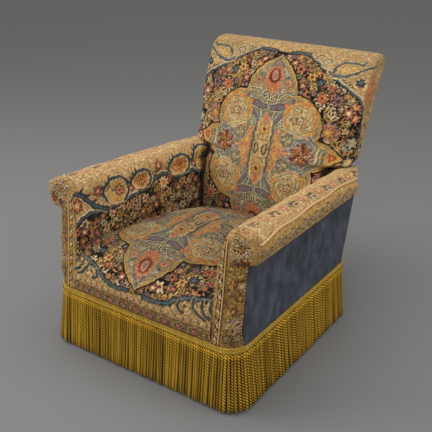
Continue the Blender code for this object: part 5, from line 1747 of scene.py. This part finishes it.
def make_outside_arm(side, name):
    """A panel in rows from the braid up to the roll, wrapped round both corners of the body."""
    def height(y, way):
        high = roll_z(y) - toward_rear(y, UNDER_ROLL_FRONT, UNDER_ROLL_REAR)
        return COVER_LOW + (high - COVER_LOW) * way

    rows = []
    for way in np.linspace(0.0, 1.0, ARM_PANEL_ROWS):
        start, end = BODY_FRONT, BODY_REAR
        for again in range(5):
            corner = float(cover_corner(height(start, way)))
            start = float(face_y(height(start, way))) + corner * (1 - math.cos(WRAP))
            start += PANEL_START_GAP
            end = float(rear_y(height(end, way)) - REAR_CORNER)
        y = start + (end - start) * np.linspace(0.0, 1.0, ARM_PANEL_STRAIGHT)
        x = BODY_HALF - fall_back(cover_corner(height(y, way)), y - face_y(height(y, way)))
        turn = np.linspace(0.0, math.pi / 2, ARM_PANEL_CORNER)[1:]
        corner_x = BODY_HALF - REAR_CORNER + REAR_CORNER * np.cos(turn)
        x = np.concatenate([x, corner_x, [PANEL_INNER_END]])
        y = np.concatenate([y, end + REAR_CORNER * np.sin(turn), [end + REAR_CORNER]])
        rows.append(np.stack([x, y, height(y, way)], -1))
    points = np.array(rows)
    soft = lumps(points[..., 1], points[..., 2], 0.16, 60 + side)
    fade = np.sin(np.linspace(0, math.pi, len(points)))[:, None] ** 0.5
    points[..., 0] += ARM_PANEL_LUMPS * soft * fade * ease(0.30 - points[..., 1], 0.0, 0.05)
    points[..., 0] *= side
    if side < 0:
        points = points[:, ::-1]
    panel = lattice("outside_arm_velvet_" + name, points, velvet)
    thicken(panel, VELVET_THICK)
    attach(panel, "root")
    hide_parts("outside_arm_" + name)


def make_outside_back():
    """A panel between the posts, from the braid up to the roll of the back."""
    x = np.linspace(-BACK_PANEL_HALF, BACK_PANEL_HALF, 70)
    px, pz = np.meshgrid(x, np.linspace(COVER_LOW, BACK_PANEL_TOP, 90))
    beside = ease(np.abs(px), 0.270, BACK_PANEL_HALF)
    py = rear_y(pz) - 0.003 * np.clip((pz - 0.44) / 0.05, 0.0, 1.0) * beside
    soft = lumps(px, pz, 0.2, 70) * ease(BACK_PANEL_HALF - np.abs(px), 0.0, 0.05)
    py += BACK_PANEL_LUMPS * soft
    panel = lattice("outside_back_velvet", np.stack([px, py, pz], -1)[:, ::-1], velvet)
    thicken(panel, VELVET_THICK)
    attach(panel, "root")
    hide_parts("outside_back")


make_outside_arm(1, "right")
make_outside_arm(-1, "left")
make_outside_back()


# Braid
# A plaited gold gimp heading, sewn round the body over the lower edges of the covers.
# A twisted cord of the same thread runs along its top edge.
FRONT_CORNER = 0.0615
BRAID_STEPS = 900
BRAID_PROFILE = np.array((
    (0.0010, 0.1855), (0.0030, 0.1856), (0.0042, 0.1880), (0.0032, 0.1903), (0.0044, 0.1925),
    (0.0034, 0.1950), (0.0042, 0.1974), (0.0028, 0.1990), (0.0010, 0.1992),
))
# Painted shade and highlight across the band's profile, from its lower edge up: darker where the
# band turns in at its lower edge, a little lighter on its most outward ridge, and the cord's
# painted shadow along its top edge.
BRAID_PAINTED_SHADE = np.array((-0.25, -0.15, 0.0, -0.05, 0.10, 0.05, 0.0, -0.55, -0.75, -0.25))
BRAID_PLAIT, PLAIT_DEPTH = 0.0058, 0.10
BRAID_CORD_RADIUS, BRAID_CORD_PITCH = 0.0031, 0.0070
BRAID_CORD_OUT, BRAID_CORD_UP = 0.0030, 0.2014


def round_body(count):
    """Even steps round the body's plan from the front right: places, outward normals and runs."""
    front_x, front_y = BODY_HALF - FRONT_CORNER, BODY_FRONT + FRONT_CORNER
    rear_x, back_y = BODY_HALF - REAR_CORNER, BODY_REAR - REAR_CORNER
    ring = []
    for corner_x, corner_y, radius, first in (
        (front_x, front_y, FRONT_CORNER, -90), (rear_x, back_y, REAR_CORNER, 0),
        (-rear_x, back_y, REAR_CORNER, 90), (-front_x, front_y, FRONT_CORNER, 180),
    ):
        for turn in np.radians(np.linspace(first, first + 90, 60)):
            normal = (math.cos(turn), math.sin(turn))
            ring.append((corner_x + radius * normal[0], corner_y + radius * normal[1], *normal))
    ring = np.array(ring + ring[:1])
    run = run_of(*ring[:, :2].T)
    at = np.linspace(0.0, run[-1], count + 1)[:-1]
    out = np.stack([np.interp(at, run, ring[:, c]) for c in range(4)], 1)
    out[:, 2:] /= np.linalg.norm(out[:, 2:], axis=1, keepdims=True)
    return out[:, :2], out[:, 2:], at


def arithmetic(nodes, links, operation, first, second=None, third=None):
    """One sum on a value: the other terms are numbers, or values from other nodes."""
    node = nodes.new("ShaderNodeMath")
    node.operation = operation
    for socket, term in zip(node.inputs, (first, second, third)):
        if isinstance(term, float):
            socket.default_value = term
        elif term is not None:
            links.new(term, socket)
    return node.outputs["Value"]


def gold_finish(name, pitch, lean, dark, middle, light):
    """Twisted rayon and cotton: plies with painted groove shade and crest highlight, scaled by each
    point's tone and painted shade.
    """
    material, nodes, links, shader = plain_finish(name, middle, 0.62)
    thread = nodes.new("ShaderNodeAttribute")
    thread.attribute_name = "thread"
    split = nodes.new("ShaderNodeSeparateXYZ")
    links.new(thread.outputs["Vector"], split.inputs["Vector"])
    slant = arithmetic(nodes, links, "MULTIPLY_ADD", split.outputs["X"], lean, split.outputs["Y"])
    turns = arithmetic(nodes, links, "MULTIPLY", slant, 2 * math.pi / pitch)
    ply = to_range(nodes, links, arithmetic(nodes, links, "SINE", turns), -1.0, 1.0, 0.0, 1.0)
    # Painted shade in the grooves between the plies and a painted highlight on their crests: the
    # colour runs dark, middle, light round each twist.
    colour = colour_steps(nodes, links, ply, ((0.20, dark), (0.52, middle), (0.88, light)))
    fade = object_noise(nodes, links, (45.0, 45.0, 9.0), 4.0).outputs["Fac"]
    tone = colour_steps(nodes, links, fade, ((0.25, (0.72, 0.68, 0.60)), (0.7, (1.0, 1.0, 1.0))))
    # The thread's third value scales the colour: each cord's tone and its painted shade.
    toned_and_shaded = nodes.new("ShaderNodeVectorMath")
    toned_and_shaded.operation = "SCALE"
    links.new(shade_by(nodes, links, colour, tone), toned_and_shaded.inputs[0])
    links.new(arithmetic(nodes, links, "ADD", split.outputs["Z"], 1.0), toned_and_shaded.inputs["Scale"])
    links.new(toned_and_shaded.outputs["Vector"], shader.inputs["Base Color"])
    shader.inputs["Specular IOR Level"].default_value = 0.08
    raise_by(nodes, links, shader, ply, 0.8, 0.0015)
    return material


gimp = gold_finish(
    "gold_gimp", 0.0042, 1.0, linear(152, 98, 12), linear(236, 176, 46), linear(255, 230, 116)
)


def make_braid():
    """The flat plait round the body, closed on itself, and the cord on its top edge."""
    places, normals, run = round_body(BRAID_STEPS)
    out, level = BRAID_PROFILE.T
    plait = 1 + PLAIT_DEPTH * np.sin(run * 2 * math.pi / BRAID_PLAIT)
    out = out[None] * np.where(out[None] > 0.002, plait[:, None], 1.0)
    points = np.empty((len(run), len(level), 3))
    points[..., :2] = places[:, None] + normals[:, None] * out[..., None]
    points[..., 2] = level
    points = join_ends(join_ends(points, 1), 0)
    lean = 0.25 * np.append(level, level[0])[None]
    round_again = np.append(run, run[-1] + run[1])[:, None]
    # The third value carries the band's painted shade and highlight.
    threads = np.stack(np.broadcast_arrays(lean, round_again, BRAID_PAINTED_SHADE[None]), -1)
    band = lattice("braid_band", points, gimp, closed=True, threads=threads)
    middle = places + normals * BRAID_CORD_OUT
    middle = np.concatenate([middle, np.full((len(run), 1), BRAID_CORD_UP)], 1)
    twist = 2 * math.pi / BRAID_CORD_PITCH
    cord = round_cord("braid_cord", join_ends(middle, 0), BRAID_CORD_RADIUS, gimp, twist, 0.12)
    for piece in (band, cord):
        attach(piece, "root")
        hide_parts("braid")


make_braid()


# Bullion fringe
# Twisted gold cords, one beside another, hang from the braid to just above the floor.
# Each cord is a loop twisted on itself; they sway, and their ends are not quite level.
FRINGE_CORDS = 320
FRINGE_TOP, FRINGE_HEM = 0.1862, 0.0030
FRINGE_FLARE = 0.0175
CORNER_FLARE = 0.0050
CORD_RADIUS = 0.0036
CORD_OUT = 0.0035
BUNCHES = ((0.0017, 1.9, 0.0), (0.0013, 0.53, 1.0))
CORNER_BEHIND = -1.8
CORD_THICKER, TWIST_START = 0.10, 0.02
SIDE_POWER, FLARE_POWER = 1.2, 1.1
CORNER_SWELL, CORNER_SWELL_DOWN = 0.12, 0.56
# Per cord: random tone, a lighter top at the heading, painted shade on each cord's sides between
# its neighbours, and darker ends.
CORD_TONES = (0.20, 0.25, 0.82, 0.25)
CORD_SHORT, CORD_LEAN, CORD_BEND, CORD_PUSH = 0.0025, 0.0012, 0.0010, 0.0020
HEADING_DEEP = 0.011
HANG_LEVELS = np.array((0.0, 0.03, 0.075, 0.10, 0.25, 0.45, 0.65, 0.82, 0.95, 1.0))
HANG_WIDTHS = np.array((1.0, 1.15, 1.12, 0.98, 1.0, 1.02, 1.04, 1.06, 1.02, 0.45))
HANG_SIDES = 6

bullion = gold_finish(
    "gold_bullion", 0.0092, 1.15, linear(66, 28, 0), linear(236, 153, 20), linear(255, 220, 86)
)


def make_fringe():
    """Every cord from its own draw of bend, lean, length, push, tone and start of twist."""
    places, normals = round_body(FRINGE_CORDS)[:2]
    draw = np.random.default_rng(12)
    along = np.stack([-normals[:, 1], normals[:, 0]], 1)
    turn = np.linspace(0.0, 2 * math.pi, HANG_SIDES + 1)
    cords, threads = [], []
    for k in range(FRINGE_CORDS):
        bend, lean, short, push, tone, start = draw.uniform(-1, 1, 6)
        drop = FRINGE_TOP - FRINGE_HEM - CORD_SHORT * (1 + short)
        bunch = sum(wide * math.sin(beat * k + start_at) for wide, beat, start_at in BUNCHES)
        side = (bunch + CORD_LEAN * lean) * HANG_LEVELS ** SIDE_POWER
        side += CORD_BEND * bend * np.sin(HANG_LEVELS * math.pi)
        spread = 1.0 if normals[k, 1] < 0 else CORNER_BEHIND
        corner = 2 * abs(normals[k, 0] * normals[k, 1]) * spread
        flare = (FRINGE_FLARE + CORNER_FLARE * corner) * HANG_LEVELS ** FLARE_POWER
        out = CORD_OUT + flare + CORD_PUSH * push * HANG_LEVELS
        centre = places[k] + normals[k] * out[:, None] + along[k] * side[:, None]
        swell = 1 + max(corner, 0.0) * (CORNER_SWELL + CORNER_SWELL_DOWN * HANG_LEVELS)
        thick = CORD_RADIUS * HANG_WIDTHS * (1.0 + CORD_THICKER * tone) * swell
        ring = np.cos(turn)[None, :, None] * along[k] + np.sin(turn)[None, :, None] * normals[k]
        z = np.tile((FRINGE_TOP - drop * HANG_LEVELS)[:, None, None], (1, len(turn), 1))
        cords.append(np.concatenate([centre[:, None] + ring * thick[:, None, None], z], -1))
        # Each cord's tone with painted shade: a random tone per cord, lighter at the heading,
        # painted shade on the sides that face its neighbours, and darker towards the ends.
        below = ease(drop * HANG_LEVELS, HEADING_DEEP, 1.8 * HEADING_DEEP)[:, None]
        by_cord, at_top, in_gaps, at_end = CORD_TONES
        gap = in_gaps * np.cos(turn)[None] ** 2 * (0.4 + 0.6 * below)
        tone_and_shade = by_cord * tone + at_top * (1 - below) - gap
        tone_and_shade -= at_end * ease(HANG_LEVELS, 0.8, 1.0)[:, None] * (1 + tone_and_shade)
        run_down = (drop * HANG_LEVELS)[:, None] + TWIST_START * start
        threads.append(np.stack(np.broadcast_arrays(turn[None] * CORD_RADIUS, run_down, tone_and_shade), -1))
    fringe = lattice("bullion_cords", np.array(cords), bullion, threads=np.array(threads))
    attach(fringe, "root")
    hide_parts("bullion_fringe")


make_fringe()
